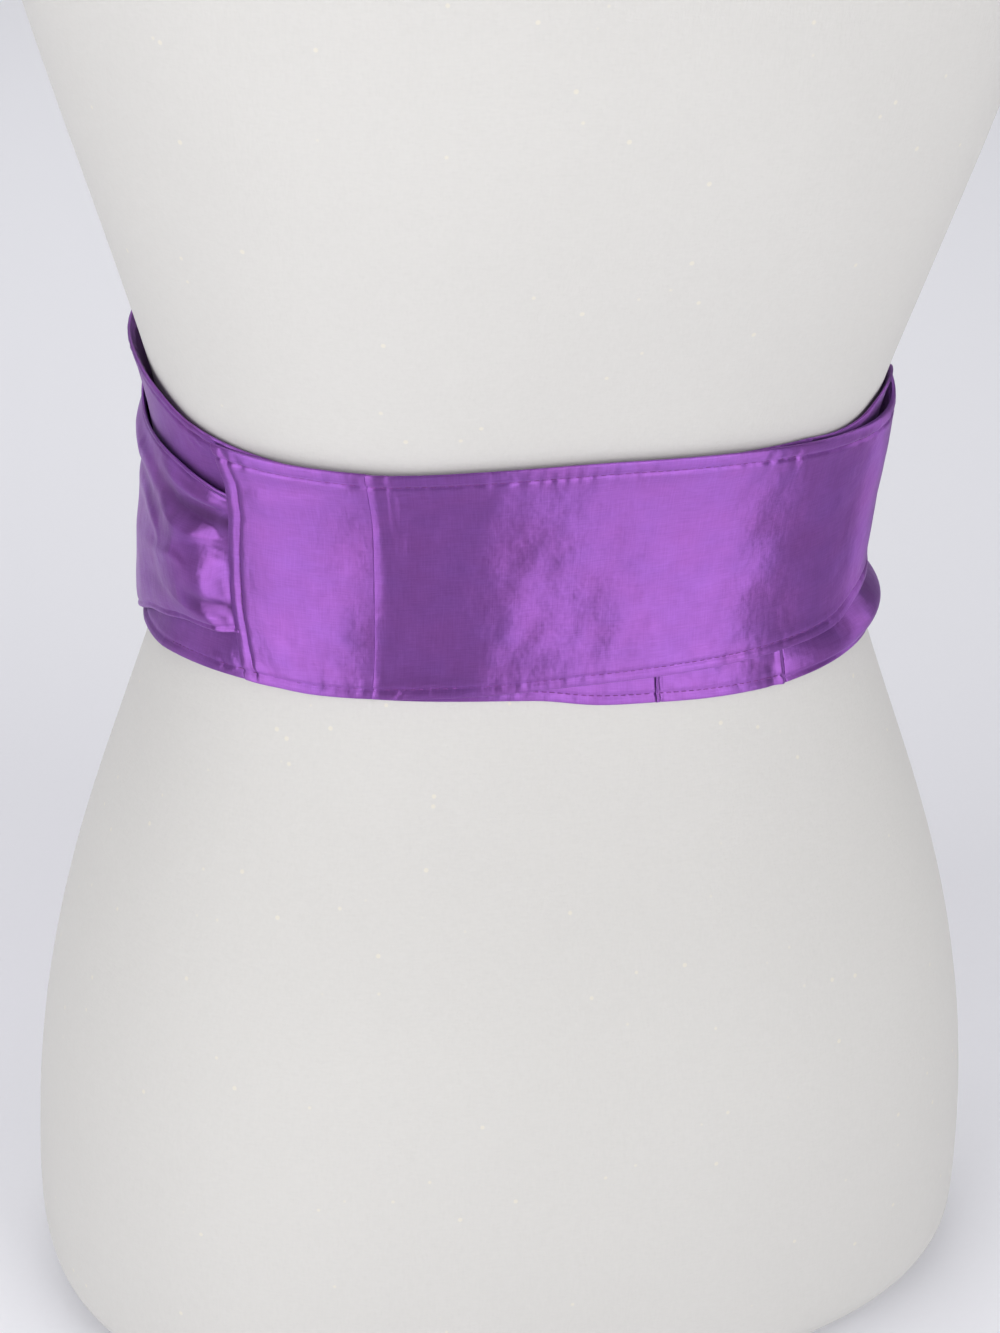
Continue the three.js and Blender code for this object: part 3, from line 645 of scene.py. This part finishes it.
def tie_swell(table, angle, share):
    """How far a gathered tie swells away from what it lies on."""
    return np.maximum(table.at("swell", angle), 0) * SWELL_SHAPE.at("part", share)


def edge_share(share):
    """Full in the middle of a strip's width and nothing at its edges."""
    return np.sin(np.pi * clamp(share)) ** 0.5


def outer_tie_offset(angle, height, share):
    """Offset of the outer tie's middle: swell, folds by the seam and pleats beside the knot."""
    from_end = (outer_end_line(clamp((height - 238) / 74)) - angle) * ARC_PER_DEGREE
    shown = np.sin(np.pi / 2 * clamp((from_end - 0.2) / 4.2))
    edge = edge_share(share)
    raised = tie_swell(OUTER_TIE, angle, share)
    across = clamp((height - 247) / 8) * clamp((285.5 - height) / 6)
    full = ROOT_FULLNESS.at("rise", angle) * clamp((angle - 4) / 4) * across
    folds = fold_rise(angle, height, OUTER_TIE_FOLDS) + fold_rise(angle, height, OUTER_TIE_DARTS)
    raised = raised + (full + folds * clamp(edge * 1.6)) * shown
    gathers = 0.16 * np.cos(2 * np.pi * (height + 2.5 * np.sin(height / 5)) / 3.1)
    gathers = gathers * bell(from_end, 0, 3.2)
    depth = np.interp(angle, (-80, -60, -34), (3.4, 2.8, 0))
    pleats = tie_pleats(share, 4.2, angle / 9, depth)
    hem = 0.25 * edge_roll(height, OUTER_TIE, angle)
    rough = slack(angle, height, OUTER_TIE_SEED, 26, 0.14) * edge * shown
    raised = np.maximum(raised + gathers * shown + rough, 0.15 * shown) + pleats * edge + hem
    return OUTER_TIE.at("lift", angle) + raised + CLEARANCE


def inner_tie_offset(angle, height, share):
    """Offset of the inner tie's middle: the puff below the outer band, folds and pleats."""
    edge = edge_share(share)
    raised = tie_swell(INNER_TIE, angle, share) + fold_rise(angle, height, INNER_TIE_FOLDS) * edge
    depth = np.interp(angle, (184, 196, 216, 240, 260), (0, 4.2, 4.8, 4.8, 3.8))
    pleats = tie_pleats(share, 5.8, angle / 9, depth)
    hem = 0.25 * edge_roll(height, INNER_TIE, angle)
    rough = slack(angle, height, INNER_TIE_SEED, 26, 0.14) * edge
    raised = np.maximum(raised + rough, 0) + pleats * edge + hem
    return INNER_TIE.at("lift", angle) + raised + puff_rise(angle, height) + CLEARANCE


def tie_pleats(share, count, drift, depth):
    """Soft pleats across a tie that all run to the knot."""
    return depth * soft_wave(count * share + 0.12 * np.sin(drift)) ** 0.8


def edge_roll(height, table, angle):
    """The narrow rolled hem on both edges of a tie, with the groove beside it."""
    total = 0
    for inward in (height - table.at("bottom", angle), table.at("top", angle) - height):
        total = total + 1.2 * bell(inward, 0.6, 0.5) - 1.8 * bell(inward, 1.8, 0.5)
    return total


def make_tie(name, table, offset_of, folds, angle, node):
    """A gathered tie from its end piece to the knot."""
    thickness = size("tie_thickness")
    distances = tie_rows()
    share = np.broadcast_to(distances[None, :] / TIE_WIDTH, angle.shape)
    height = height_across(table, angle, share)
    centre = np.maximum(offset_of(angle, height, share), LEAST_TIE_LIFT) + thickness / 2
    along = arc_lengths(form_point(angle, height, 1.0))
    ends = rim_share(along, along[-1:], thickness / 2)
    half = half_thickness(distances, TIE_WIDTH, ends, thickness)
    # Painted shade: the deeper a fold's trough, the darker the satin's colour there
    painted_shade = clamp(-fold_rise(angle, height, folds) / PAINTED_SHADE_DEPTH)
    piece, middle = cloth_wall(name, form_point, angle, height, centre, half, painted_shade)
    finish_piece(piece, "satin", node)
    length = arc_lengths(middle)[-1].mean()


def soft_wave(turns):
    """A wave between 0 and 1 over a number of turns."""
    return 0.5 - 0.5 * np.cos(2 * np.pi * turns)


def make_tail(name, table, node):
    """A free end of a tie, hanging in soft folds down the front."""
    thickness = size("tie_thickness")
    side = 1 if table.at("middle", 100) > 0 else -1
    end = table.columns["height"][0]
    length = TAIL_TOP - end
    along = 1 - spread(length, thickness / 2, 6, 0.9, 1.6)[:, None] / length
    distances = spread(TAIL_WIDTH, thickness / 2, 3, 0.5, 0.7)
    share = distances[None, :] / TAIL_WIDTH
    slant = 8 * (0.5 - share) * side * along**4
    height = TAIL_TOP + (end - TAIL_TOP) * along + slant
    spine = table.at("middle", height) + 1.6 * np.sin(height / 27 + side) * np.sin(np.pi * along)
    x = spine + table.at("half_width", height) * (2 * share - 1)
    folds = soft_wave(3.4 * share + 0.13 * np.sin(height / 31 + side) + 0.05 * side)
    small = soft_wave(5.3 * share + 0.2 * np.sin(height / 19))
    depth = np.interp(height, (38, 120, 200, 250), (9.4, 8.8, 7, 5.4))
    fade = np.sin(np.pi * np.clip(share, 0.02, 0.98)) ** 0.35
    rise = depth * folds * fade + np.interp(height, (38, 160, 257), (0.2, 0.5, 1.6)) * small
    from_end = (1 - along) * length
    hem = 0.3 * bell(from_end, 1.6, 1.2)
    rise = rise * np.interp(height, (250, 257), (1, 0.8))
    centre = table.at("lift", height) + rise + hem + CLEARANCE + thickness / 2
    ends = rim_share(np.broadcast_to(from_end, height.shape), length, thickness / 2)
    half = half_thickness(distances, TAIL_WIDTH, ends, thickness)
    piece, middle = cloth_wall(name, front_point, x, height, centre, half)
    finish_piece(piece, "satin", node)
    flat = (bpy.context.scene.sash_sizes.tie_width, arc_lengths(middle).max() * MM)


def make_knot():
    """The flat knot: a wrapped lump of cloth with slanting folds, on the front of the band."""
    rings, segments, power = 72, 120, 2.8
    tilt = np.linspace(0, math.pi, rings + 1)[1:-1, None]
    turn = np.linspace(0, 2 * math.pi, segments, endpoint=False)[None, :]
    out, side = np.sin(tilt) * np.cos(turn), np.sin(tilt) * np.sin(turn)
    up = np.cos(tilt) + 0 * turn
    scale = (np.abs(side) ** power + np.abs(out) ** power + np.abs(up) ** power) ** (-1 / power)
    facing = clamp(out) ** 0.6
    across = side * math.cos(0.35) + up * math.sin(0.35)
    wraps = soft_wave(2.1 * across * scale + 0.08 * np.sin(5 * up))
    fine = soft_wave(5.2 * across * scale + 0.2 * np.sin(4 * up + 1))
    waist = 0.05 * bell(up * scale, 0, 0.35)
    scale = scale * (1.02 - facing * (0.10 * (1 - wraps) + 0.025 * (1 - fine)) - waist)
    height = KNOT_HEIGHT + KNOT_HALF_HEIGHT * up * scale
    offset = KNOT_LIFT + KNOT_HALF_DEPTH * (1 + out * scale)
    points = front_point(KNOT_HALF_WIDTH * side * scale, height, offset).reshape(-1, 3)
    tips = KNOT_HEIGHT + KNOT_HALF_HEIGHT * np.array([1.0, -1.0])
    ends = front_point(np.zeros(2), tips, np.full(2, KNOT_LIFT + KNOT_HALF_DEPTH))
    points = np.concatenate([points, ends])
    top, bottom, last = len(points) - 2, len(points) - 1, (rings - 2) * segments
    afters = [*range(1, segments), 0]
    faces = []
    for first in range(0, last, segments):
        for segment, after in enumerate(afters):
            a, b = first + segment, first + after
            faces.append((a, a + segments, b + segments, b))
    for segment, after in enumerate(afters):
        faces.append((top, segment, after))
        faces.append((bottom, last + after, last + segment))
    piece = link_mesh("knot_cloth", points, faces, satin())
    set_uv(piece.data, points[:, [0, 2]])
    face_outwards(piece)
    finish_piece(piece, "satin", "knot")


class Nodes:
    """Short helper that adds and joins the nodes of one material."""

    def __init__(self, name):
        self.material = bpy.data.materials.new(name)
        self.material.use_nodes = True
        self.tree = self.material.node_tree
        self.shader = self.tree.nodes["Principled BSDF"]

    def add(self, kind, inputs=(), **settings):
        node = self.tree.nodes.new(kind)
        for name, value in settings.items():
            setattr(node, name, value)
        for name, value in dict(inputs).items():
            self.give(node.inputs[name], value)
        return node

    def give(self, socket, value):
        """Joins a socket to another one, or sets it to a value."""
        if isinstance(value, bpy.types.NodeSocket):
            self.tree.links.new(value, socket)
        else:
            socket.default_value = value

    def place(self):
        return self.add("ShaderNodeTexCoord").outputs["Object"]

    def scaled(self, coordinates, scale):
        inputs = {"Vector": coordinates, "Scale": scale}
        return self.add("ShaderNodeMapping", inputs).outputs["Vector"]

    def noise(self, vector, scale, detail=2.0, rough=0.5):
        inputs = {"Vector": vector, "Scale": scale, "Detail": detail, "Roughness": rough}
        return self.add("ShaderNodeTexNoise", inputs).outputs["Fac"]

    def spread(self, value, new_low, new_high, low=0.3, high=0.7):
        inputs = {"Value": value, "From Min": low, "From Max": high}
        inputs |= {"To Min": new_low, "To Max": new_high}
        return self.add("ShaderNodeMapRange", inputs).outputs["Result"]

    def mix(self, share, first, second):
        node = self.add("ShaderNodeMix", data_type="RGBA")
        for index, value in ((0, share), (6, first), (7, second)):
            self.give(node.inputs[index], value)
        return node.outputs[2]

    def bump(self, height, depth, normal=None):
        inputs = {"Height": height, "Distance": depth, "Strength": 1.0}
        if normal is not None:
            inputs["Normal"] = normal
        return self.add("ShaderNodeBump", inputs).outputs["Normal"]

    def link(self, socket, name):
        self.tree.links.new(socket, self.shader.inputs[name])

    def set(self, **values):
        for name, value in values.items():
            self.shader.inputs[name.replace("_", " ")].default_value = value


def shade(colour, factor):
    """A colour made lighter or darker, with its alpha."""
    return (*[min(1, value * factor) for value in colour], 1)


def made_once(name):
    """Gives a material that was made before, and makes it the first time."""

    def wrap(build):
        def find():
            found = bpy.data.materials.get(name)
            if found is None:
                nodes = Nodes(name)
                build(nodes, bpy.context.scene.sash_sizes)
                found = nodes.material
            return found

        return find

    return wrap


@made_once("Satin")
def satin(nodes, sizes):
    """Smooth purple satin with slubs and blotches, its highlights drawn out across the cloth, and
    painted shade darkening the troughs of the ties' folds.
    """
    uv = nodes.add("ShaderNodeUVMap", uv_map="Cloth").outputs["UV"]
    blotch = nodes.noise(nodes.scaled(uv, (60, 75, 1)), 1.0, 3.0, 0.55)
    cloud = nodes.noise(nodes.scaled(uv, (220, 160, 1)), 1.0, 2.0, 0.6)
    floats = nodes.noise(nodes.scaled(uv, (150, 2600, 1)), 1.0, 2.0, 0.6)
    wefts = nodes.noise(nodes.scaled(uv, (2400, 130, 1)), 1.0, 2.0, 0.6)
    red, blue = sizes.satin_red, sizes.satin_blue
    colour = nodes.mix(nodes.spread(blotch, 0, 1), shade(red, 1), shade(blue, 1))
    colour = nodes.mix(nodes.spread(floats, 0.0, 0.35), colour, shade(red, 0.62))
    colour = nodes.mix(nodes.spread(wefts, 0.0, 0.22, 0.35, 0.75), colour, shade(blue, 1.4))
    # Painted shade: the colour is darkened in the troughs of the ties' folds
    painted_shade = nodes.add("ShaderNodeAttribute", attribute_name="PaintedShade").outputs["Fac"]
    colour = nodes.mix(nodes.spread(painted_shade, 0, 0.75, 0, 1), colour, shade(red, 0.3))
    nodes.link(colour, "Base Color")
    nodes.link(nodes.spread(cloud, 0.42, 0.5), "Roughness")
    normal = nodes.bump(blotch, 0.0004)
    normal = nodes.bump(cloud, 0.00014, normal)
    normal = nodes.bump(floats, 0.00003, normal)
    normal = nodes.bump(wefts, 0.00002, normal)
    nodes.link(normal, "Normal")
    tangent = nodes.add("ShaderNodeTangent", direction_type="UV_MAP", uv_map="Cloth")
    nodes.link(tangent.outputs["Tangent"], "Tangent")
    nodes.set(Metallic=0.88, Anisotropic=0.95, Anisotropic_Rotation=0.25, IOR=1.5)
    nodes.set(Sheen_Weight=0.18, Sheen_Roughness=0.35, Sheen_Tint=(0.82, 0.66, 1.0, 1))
    nodes.set(Specular_Tint=(0.9, 0.72, 1.0, 1))


@made_once("Thread")
def thread(nodes, sizes):
    """Fine twisted sewing thread, a little redder and darker than the satin."""
    place = nodes.place()
    lot = nodes.noise(place, 90.0)
    twist = nodes.noise(place, 2600.0)
    dark, light = shade(sizes.thread_colour, 0.8), shade(sizes.thread_colour, 1.25)
    colour = nodes.mix(nodes.spread(lot, 0, 1, 0.35, 0.65), dark, light)
    nodes.link(colour, "Base Color")
    nodes.link(nodes.spread(twist, 0.45, 0.7), "Roughness")
    nodes.link(nodes.bump(twist, 0.00004), "Normal")


@made_once("Form cover")
def cover(nodes, sizes):
    """Matt off-white knitted cover with a fine even grain and a few pale flecks."""
    place = nodes.place()
    courses = nodes.noise(nodes.scaled(place, (420, 420, 1500)), 1.0, 1.0)
    wales = nodes.noise(nodes.scaled(place, (1300, 1300, 330)), 1.0, 1.0)
    cloud = nodes.noise(place, 22.0, 3.0)
    inputs = {"Vector": place, "Scale": 95.0, "Randomness": 1.0}
    fleck = nodes.add("ShaderNodeTexVoronoi", inputs).outputs["Distance"]
    plain = sizes.cover_colour
    tint = nodes.mix(nodes.spread(cloud, 0, 1), shade(plain, 0.985), shade(plain, 1.01))
    tint = nodes.mix(nodes.spread(courses, 0, 0.5), tint, shade(plain, 0.95))
    tint = nodes.mix(nodes.spread(wales, 0, 0.5), tint, shade(plain, 1.02))
    tint = nodes.mix(nodes.spread(fleck, 0.35, 0, 0.05, 0.08), tint, shade(sizes.fleck_colour, 1))
    nodes.link(tint, "Base Color")
    nodes.link(nodes.spread(cloud, 0.82, 0.92), "Roughness")
    normal = nodes.bump(courses, 0.00006)
    nodes.link(nodes.bump(wales, 0.00006, normal), "Normal")
    nodes.set(Specular_IOR_Level=0.25, Sheen_Weight=0.12, Sheen_Roughness=0.5)


@made_once("Backdrop paper")
def paper(nodes, sizes):
    """Even pale backdrop paper."""
    place = nodes.place()
    grain = nodes.noise(place, 500.0)
    colour = nodes.mix(grain, shade(sizes.floor_colour, 0.99), shade(sizes.floor_colour, 1.01))
    nodes.link(colour, "Base Color")
    nodes.link(nodes.bump(grain, 0.00002), "Normal")
    nodes.set(Roughness=0.9)


def sized(name, text, default):
    """A length that shows in the panel."""
    return FloatProperty(
        name=name, description=text, default=default, unit="LENGTH", min=0, precision=4
    )


def coloured(name, text, default):
    """A colour that shows in the panel."""
    return FloatVectorProperty(
        name=name, description=text, default=default, subtype="COLOR", size=3, min=0, max=1
    )


class SashSizes(bpy.types.PropertyGroup):
    """Sizes and colours of the sash and its form."""

    band_thickness: sized("Band thickness", "Thickness of the doubled band", 0.001)
    tie_thickness: sized("Tie thickness", "Thickness of a tie", 0.0007)
    tie_width: sized("Tie width", "Width that a tie is cut to", 0.083)
    upper_stitch: sized("Upper stitch line", "From the edge, on the outer stretch", 0.0041)
    inner_stitch: sized("Inner stitch line", "From the edge, on the inner stretch", 0.0027)
    lower_stitch: sized("Lower stitch line", "From the lower edge", 0.0029)
    end_stitch: sized("End stitch line", "From the end of the band", 0.0032)
    stitch_pitch: sized("Stitch pitch", "From one stitch to the next", 0.0024)
    stitch_length: sized("Stitch length", "Length of one stitch", 0.0017)
    thread_width: sized("Thread width", "Thickness of the sewing thread", 0.00034)
    satin_blue: coloured("Satin, bluer", "Bluer shade of the satin", (0.285, 0.106, 0.45))
    satin_red: coloured("Satin, redder", "Redder shade of the satin", (0.3, 0.1, 0.415))
    thread_colour: coloured("Thread", "Colour of the sewing thread", (0.16, 0.03, 0.20))
    cover_colour: coloured("Cover", "Colour of the form's cover", (0.53, 0.52, 0.502))
    fleck_colour: coloured("Flecks", "Colour of the cover's flecks", (0.72, 0.66, 0.5))
    floor_colour: coloured("Floor", "Colour of the floor and backdrop", (0.86, 0.86, 0.90))


def columns_of(stretches, seam_rim):
    """Angles of the columns along a band, with two close to each end."""
    first, last = stretches[0][0], stretches[-1][1]
    angles = [first, first + 0.3 * seam_rim, first + seam_rim]
    for start, end, step in stretches:
        count = max(1, round((end - start) * ARC_PER_DEGREE / step))
        angles += list(np.linspace(start, end, count, endpoint=False)[1 if start == first else 0 :])
    angles = [angle for angle in angles if angle < last - 2 * seam_rim]
    return np.array([*angles, last - seam_rim, last - 0.3 * seam_rim, last])


MAIN_BAND_SHAPE = Band(MAIN_BAND, BAND_FOLDS + INNER_FOLDS)
OUTER_END_SHAPE = Band(OUTER_END, OUTER_END_FOLDS, OUTER_END_FULLNESS, outer_end_line)
INNER_END_SHAPE = Band(MAIN_BAND, INNER_END_FOLDS)


def band_rows():
    """Distances of the rows across the band."""
    return spread(BAND_WIDTH, size("band_thickness") / 2, 7.0, 0.55, 1.5)


def tie_rows():
    """Distances of the rows across a tie."""
    return spread(TIE_WIDTH, size("tie_thickness") / 2, 3.2, 0.4, 0.75)


def grid_of(columns, rows):
    """The same columns at every row."""
    return np.broadcast_to(columns[:, None], (len(columns), len(rows)))


class SASH_OT_form(bpy.types.Operator):
    """Make the form's smooth cover"""

    bl_idname = "sash.form"
    bl_label = "Form cover"

    def execute(self, context):
        bpy.ops.object.select_all(action="DESELECT")
        piece = bpy.data.objects.new("form_cover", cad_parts["dress_form"].data.copy())
        context.scene.collection.objects.link(piece)
        piece.select_set(True)
        context.view_layer.objects.active = piece
        bpy.ops.object.mode_set(mode="EDIT")
        bpy.ops.mesh.select_all(action="SELECT")
        bpy.ops.mesh.remove_doubles(threshold=1e-5)
        angle = math.radians(60)
        bpy.ops.mesh.tris_convert_to_quads(face_threshold=angle, shape_threshold=angle)
        bpy.ops.object.mode_set(mode="OBJECT")
        smooth = piece.modifiers.new("Smooth", "SUBSURF")
        smooth.levels = 2
        smooth.render_levels = 2
        bpy.ops.object.modifier_apply(modifier=smooth.name)
        bpy.ops.object.shade_smooth()
        piece.data.materials.clear()
        piece.data.materials.append(cover())
        finish_piece(piece, "cover", "dress_form")
        return {"FINISHED"}


class SASH_OT_band(bpy.types.Operator):
    """Make the main band and its two end pieces"""

    bl_idname = "sash.band"
    bl_label = "Band"

    def execute(self, context):
        rows = band_rows()
        angle = grid_of(columns_of(MAIN_BAND_STRETCHES, 0.11), rows)
        nodes = ("band_front", "band_inner", "band_outer")
        make_band("main_band", MAIN_BAND_SHAPE, angle, (0.08, 0.15), "form_cover", *nodes)
        first = outer_end_line(rows / BAND_WIDTH)[None, :]
        between = np.linspace(0.02, 0.98, 70)
        along = np.array([0, 0.0015, 0.005, 0.011, *between, 0.99, 0.9957, 0.9985, 1])
        angle = first + (OUTER_END_SEAM - first) * along[:, None]
        make_band("outer_end", OUTER_END_SHAPE, angle, (0.5, 0.08), "main_band", "outer_end_piece")
        angle = grid_of(INNER_END_START + (INNER_END_STOP - INNER_END_START) * along, rows)
        make_band("inner_end", INNER_END_SHAPE, angle, (0.15, 0.5), "form_cover", "inner_end_piece")
        return {"FINISHED"}


class SASH_OT_stitches(bpy.types.Operator):
    """Sew the topstitching round the band"""

    bl_idname = "sash.stitches"
    bl_label = "Topstitching"

    def execute(self, context):
        pieces = (
            (MAIN_BAND_SHAPE, 50.6, 468.0, "band_stitches"),
            (OUTER_END_SHAPE, 27.5, 50.0, "outer_end_stitches"),
            (INNER_END_SHAPE, 468.6, 494.6, "inner_end_stitches"),
        )
        for band, start, stop, name in pieces:
            angles = np.arange(start, stop, 0.25)
            lower, upper = band.stitch_lines(angles)
            width = band.table.at("top", angles) - band.table.at("bottom", angles)
            face = band_face(band, size("band_thickness"))
            shares = (lower / width, 1 - upper / width)
            lines = [sewing_line(face, angles, share) for share in shares]
            if band is OUTER_END_SHAPE:
                shares = np.linspace(0.05, 0.95, 240)
                inset = size("end_stitch") / ARC_PER_DEGREE
                lines.append(sewing_line(face, outer_end_line(shares) + inset, shares))
            sew(name, lines)
        return {"FINISHED"}


class SASH_OT_ties(bpy.types.Operator):
    """Make the two gathered ties"""

    bl_idname = "sash.ties"
    bl_label = "Ties"

    def execute(self, context):
        rows = tie_rows()
        steps = [0, 0.12, *np.arange(0.3, 44, 0.5), *np.linspace(44, 106.2, 62), 106.45, 106.6]
        steps = np.array(steps)
        root = outer_end_line(clamp((rows / TIE_WIDTH * 46 + 13) / 74)) + 1.0
        angle = root[None, :] + (OUTER_TIE_STOP - root[None, :]) * (steps / steps[-1])[:, None]
        pieces = [("outer_tie", OUTER_TIE, outer_tie_offset, OUTER_TIE_FOLDS, angle)]
        steps = [0, 0.12, *np.arange(0.3, 36, 0.55), *np.linspace(36, 124.4, 88), 124.7, 124.85]
        steps = np.array(steps)
        angle = grid_of(INNER_TIE_START + steps, rows)
        pieces.append(("inner_tie", INNER_TIE, inner_tie_offset, INNER_TIE_FOLDS, angle))
        for node, *shape in pieces:
            make_tie(f"{node}_cloth", *shape, node)
        return {"FINISHED"}


class SASH_OT_knot(bpy.types.Operator):
    """Make the knot at the front"""

    bl_idname = "sash.knot"
    bl_label = "Knot"

    def execute(self, context):
        make_knot()
        return {"FINISHED"}


class SASH_OT_tails(bpy.types.Operator):
    """Make the two free ends below the knot"""

    bl_idname = "sash.tails"
    bl_label = "Tails"

    def execute(self, context):
        make_tail("left_tail_cloth", LEFT_TAIL, "left_tail")
        make_tail("right_tail_cloth", RIGHT_TAIL, "right_tail")
        return {"FINISHED"}


def direction(azimuth, elevation):
    """Unit direction at an azimuth, measured from behind to the wearer's left, and an elevation."""
    azimuth, elevation = math.radians(azimuth), math.radians(elevation)
    flat = math.cos(elevation)
    return Vector((math.sin(azimuth) * flat, math.cos(azimuth) * flat, math.sin(elevation)))


# Soft boxes: azimuth, elevation, distance, width, height and power, in metres and watts
LIGHTS = (
    ("left_box", 55, 13, 1.7, 1.55, 1.1, 23),
    ("right_box", -27, 13, 1.7, 1.2, 1.1, 18.5),
    ("top_box", 10, 75, 2.0, 1.8, 1.8, 3.5),
    ("left_rim", 122, 12, 1.8, 0.9, 1.2, 2.2),
    ("right_rim", -94, 12, 1.8, 1.0, 1.2, 6),
    ("front_box", 180, 32, 2.4, 1.6, 1.2, 7),
)
LIGHT_TARGET = (0, 0, 0.26)
# A box that looks straight down on the backdrop: width, height and power
BACKDROP_BOX = (2.6, 1.6, 12.5)
BACKDROP_PLACE = (0, -1.1, 1.5)
WORLD_COLOUR = (0.93, 0.93, 1.0, 1)
WORLD_STRENGTH = 0.17
FLOOR_SIZE = 24


def soft_box(name, width, height, power):
    """A soft box light, sizes in metres, that looks down until it is turned."""
    light = bpy.data.lights.new(name, "AREA")
    light.shape = "RECTANGLE"
    light.size, light.size_y = width, height
    light.energy = power
    lamp = bpy.data.objects.new(name, light)
    bpy.context.scene.collection.objects.link(lamp)
    return lamp


class SASH_OT_stage(bpy.types.Operator):
    """Make the floor, lights and camera"""

    bl_idname = "sash.stage"
    bl_label = "Stage"

    def execute(self, context):
        scene = context.scene
        bpy.ops.object.select_all(action="DESELECT")
        bpy.ops.mesh.primitive_plane_add(size=FLOOR_SIZE, location=(0, 0, 0))
        floor = context.active_object
        floor.name = "floor"
        floor.data.materials.append(paper())
        lens = bpy.data.cameras.new("camera")
        lens.sensor_fit = "VERTICAL"
        lens.sensor_height = 36
        lens.lens = CAMERA_LENS
        lens.clip_start = 0.01
        camera = bpy.data.objects.new("camera", lens)
        scene.collection.objects.link(camera)
        away = direction(CAMERA_AZIMUTH, CAMERA_ELEVATION)
        right = (-away).cross(Vector((0, 0, 1))).normalized()
        right = Matrix.Rotation(math.radians(CAMERA_ROLL), 3, away) @ right
        turn = Matrix((right, away.cross(right), away)).transposed().to_4x4()
        place = Vector(CAMERA_TARGET) * MM + CAMERA_DISTANCE * MM * away
        camera.matrix_world = Matrix.Translation(place) @ turn
        scene.camera = camera
        world = bpy.data.worlds.new("Studio")
        world.use_nodes = True
        sky = world.node_tree.nodes["Background"].inputs
        sky["Color"].default_value = WORLD_COLOUR
        sky["Strength"].default_value = WORLD_STRENGTH
        scene.world = world
        scene.view_settings.view_transform = "Standard"
        for name, azimuth, elevation, distance, *size_and_power in LIGHTS:
            lamp = soft_box(name, *size_and_power)
            away = direction(azimuth, elevation)
            lamp.location = Vector(LIGHT_TARGET) + distance * away
            lamp.rotation_euler = away.to_track_quat("Z", "Y").to_euler()
        soft_box("backdrop_box", *BACKDROP_BOX).location = BACKDROP_PLACE
        return {"FINISHED"}


STEPS = ("form", "band", "stitches", "ties", "knot", "tails", "stage")


class SASH_PT_panel(bpy.types.Panel):
    """Lists the pieces of the sash and their sizes"""

    bl_idname = "SASH_PT_panel"
    bl_label = "Satin sash"
    bl_space_type = "VIEW_3D"
    bl_region_type = "UI"
    bl_category = "Sash"

    def draw(self, context):
        for step in STEPS:
            self.layout.operator(f"sash.{step}")
        for name in SashSizes.__annotations__:
            self.layout.prop(context.scene.sash_sizes, name)


CLASSES = (
    SashSizes,
    SASH_OT_form,
    SASH_OT_band,
    SASH_OT_stitches,
    SASH_OT_ties,
    SASH_OT_knot,
    SASH_OT_tails,
    SASH_OT_stage,
    SASH_PT_panel,
)


def register():
    for item in CLASSES:
        bpy.utils.register_class(item)
    bpy.types.Scene.sash_sizes = PointerProperty(type=SashSizes)


def unregister():
    del bpy.types.Scene.sash_sizes
    for item in reversed(CLASSES):
        bpy.utils.unregister_class(item)


def main():
    """Builds every piece in order."""
    register()
    for step in STEPS:
        if getattr(bpy.ops.sash, step)() != {"FINISHED"}:
            raise RuntimeError(f"{step} was not made")


if __name__ == "__main__":
    main()
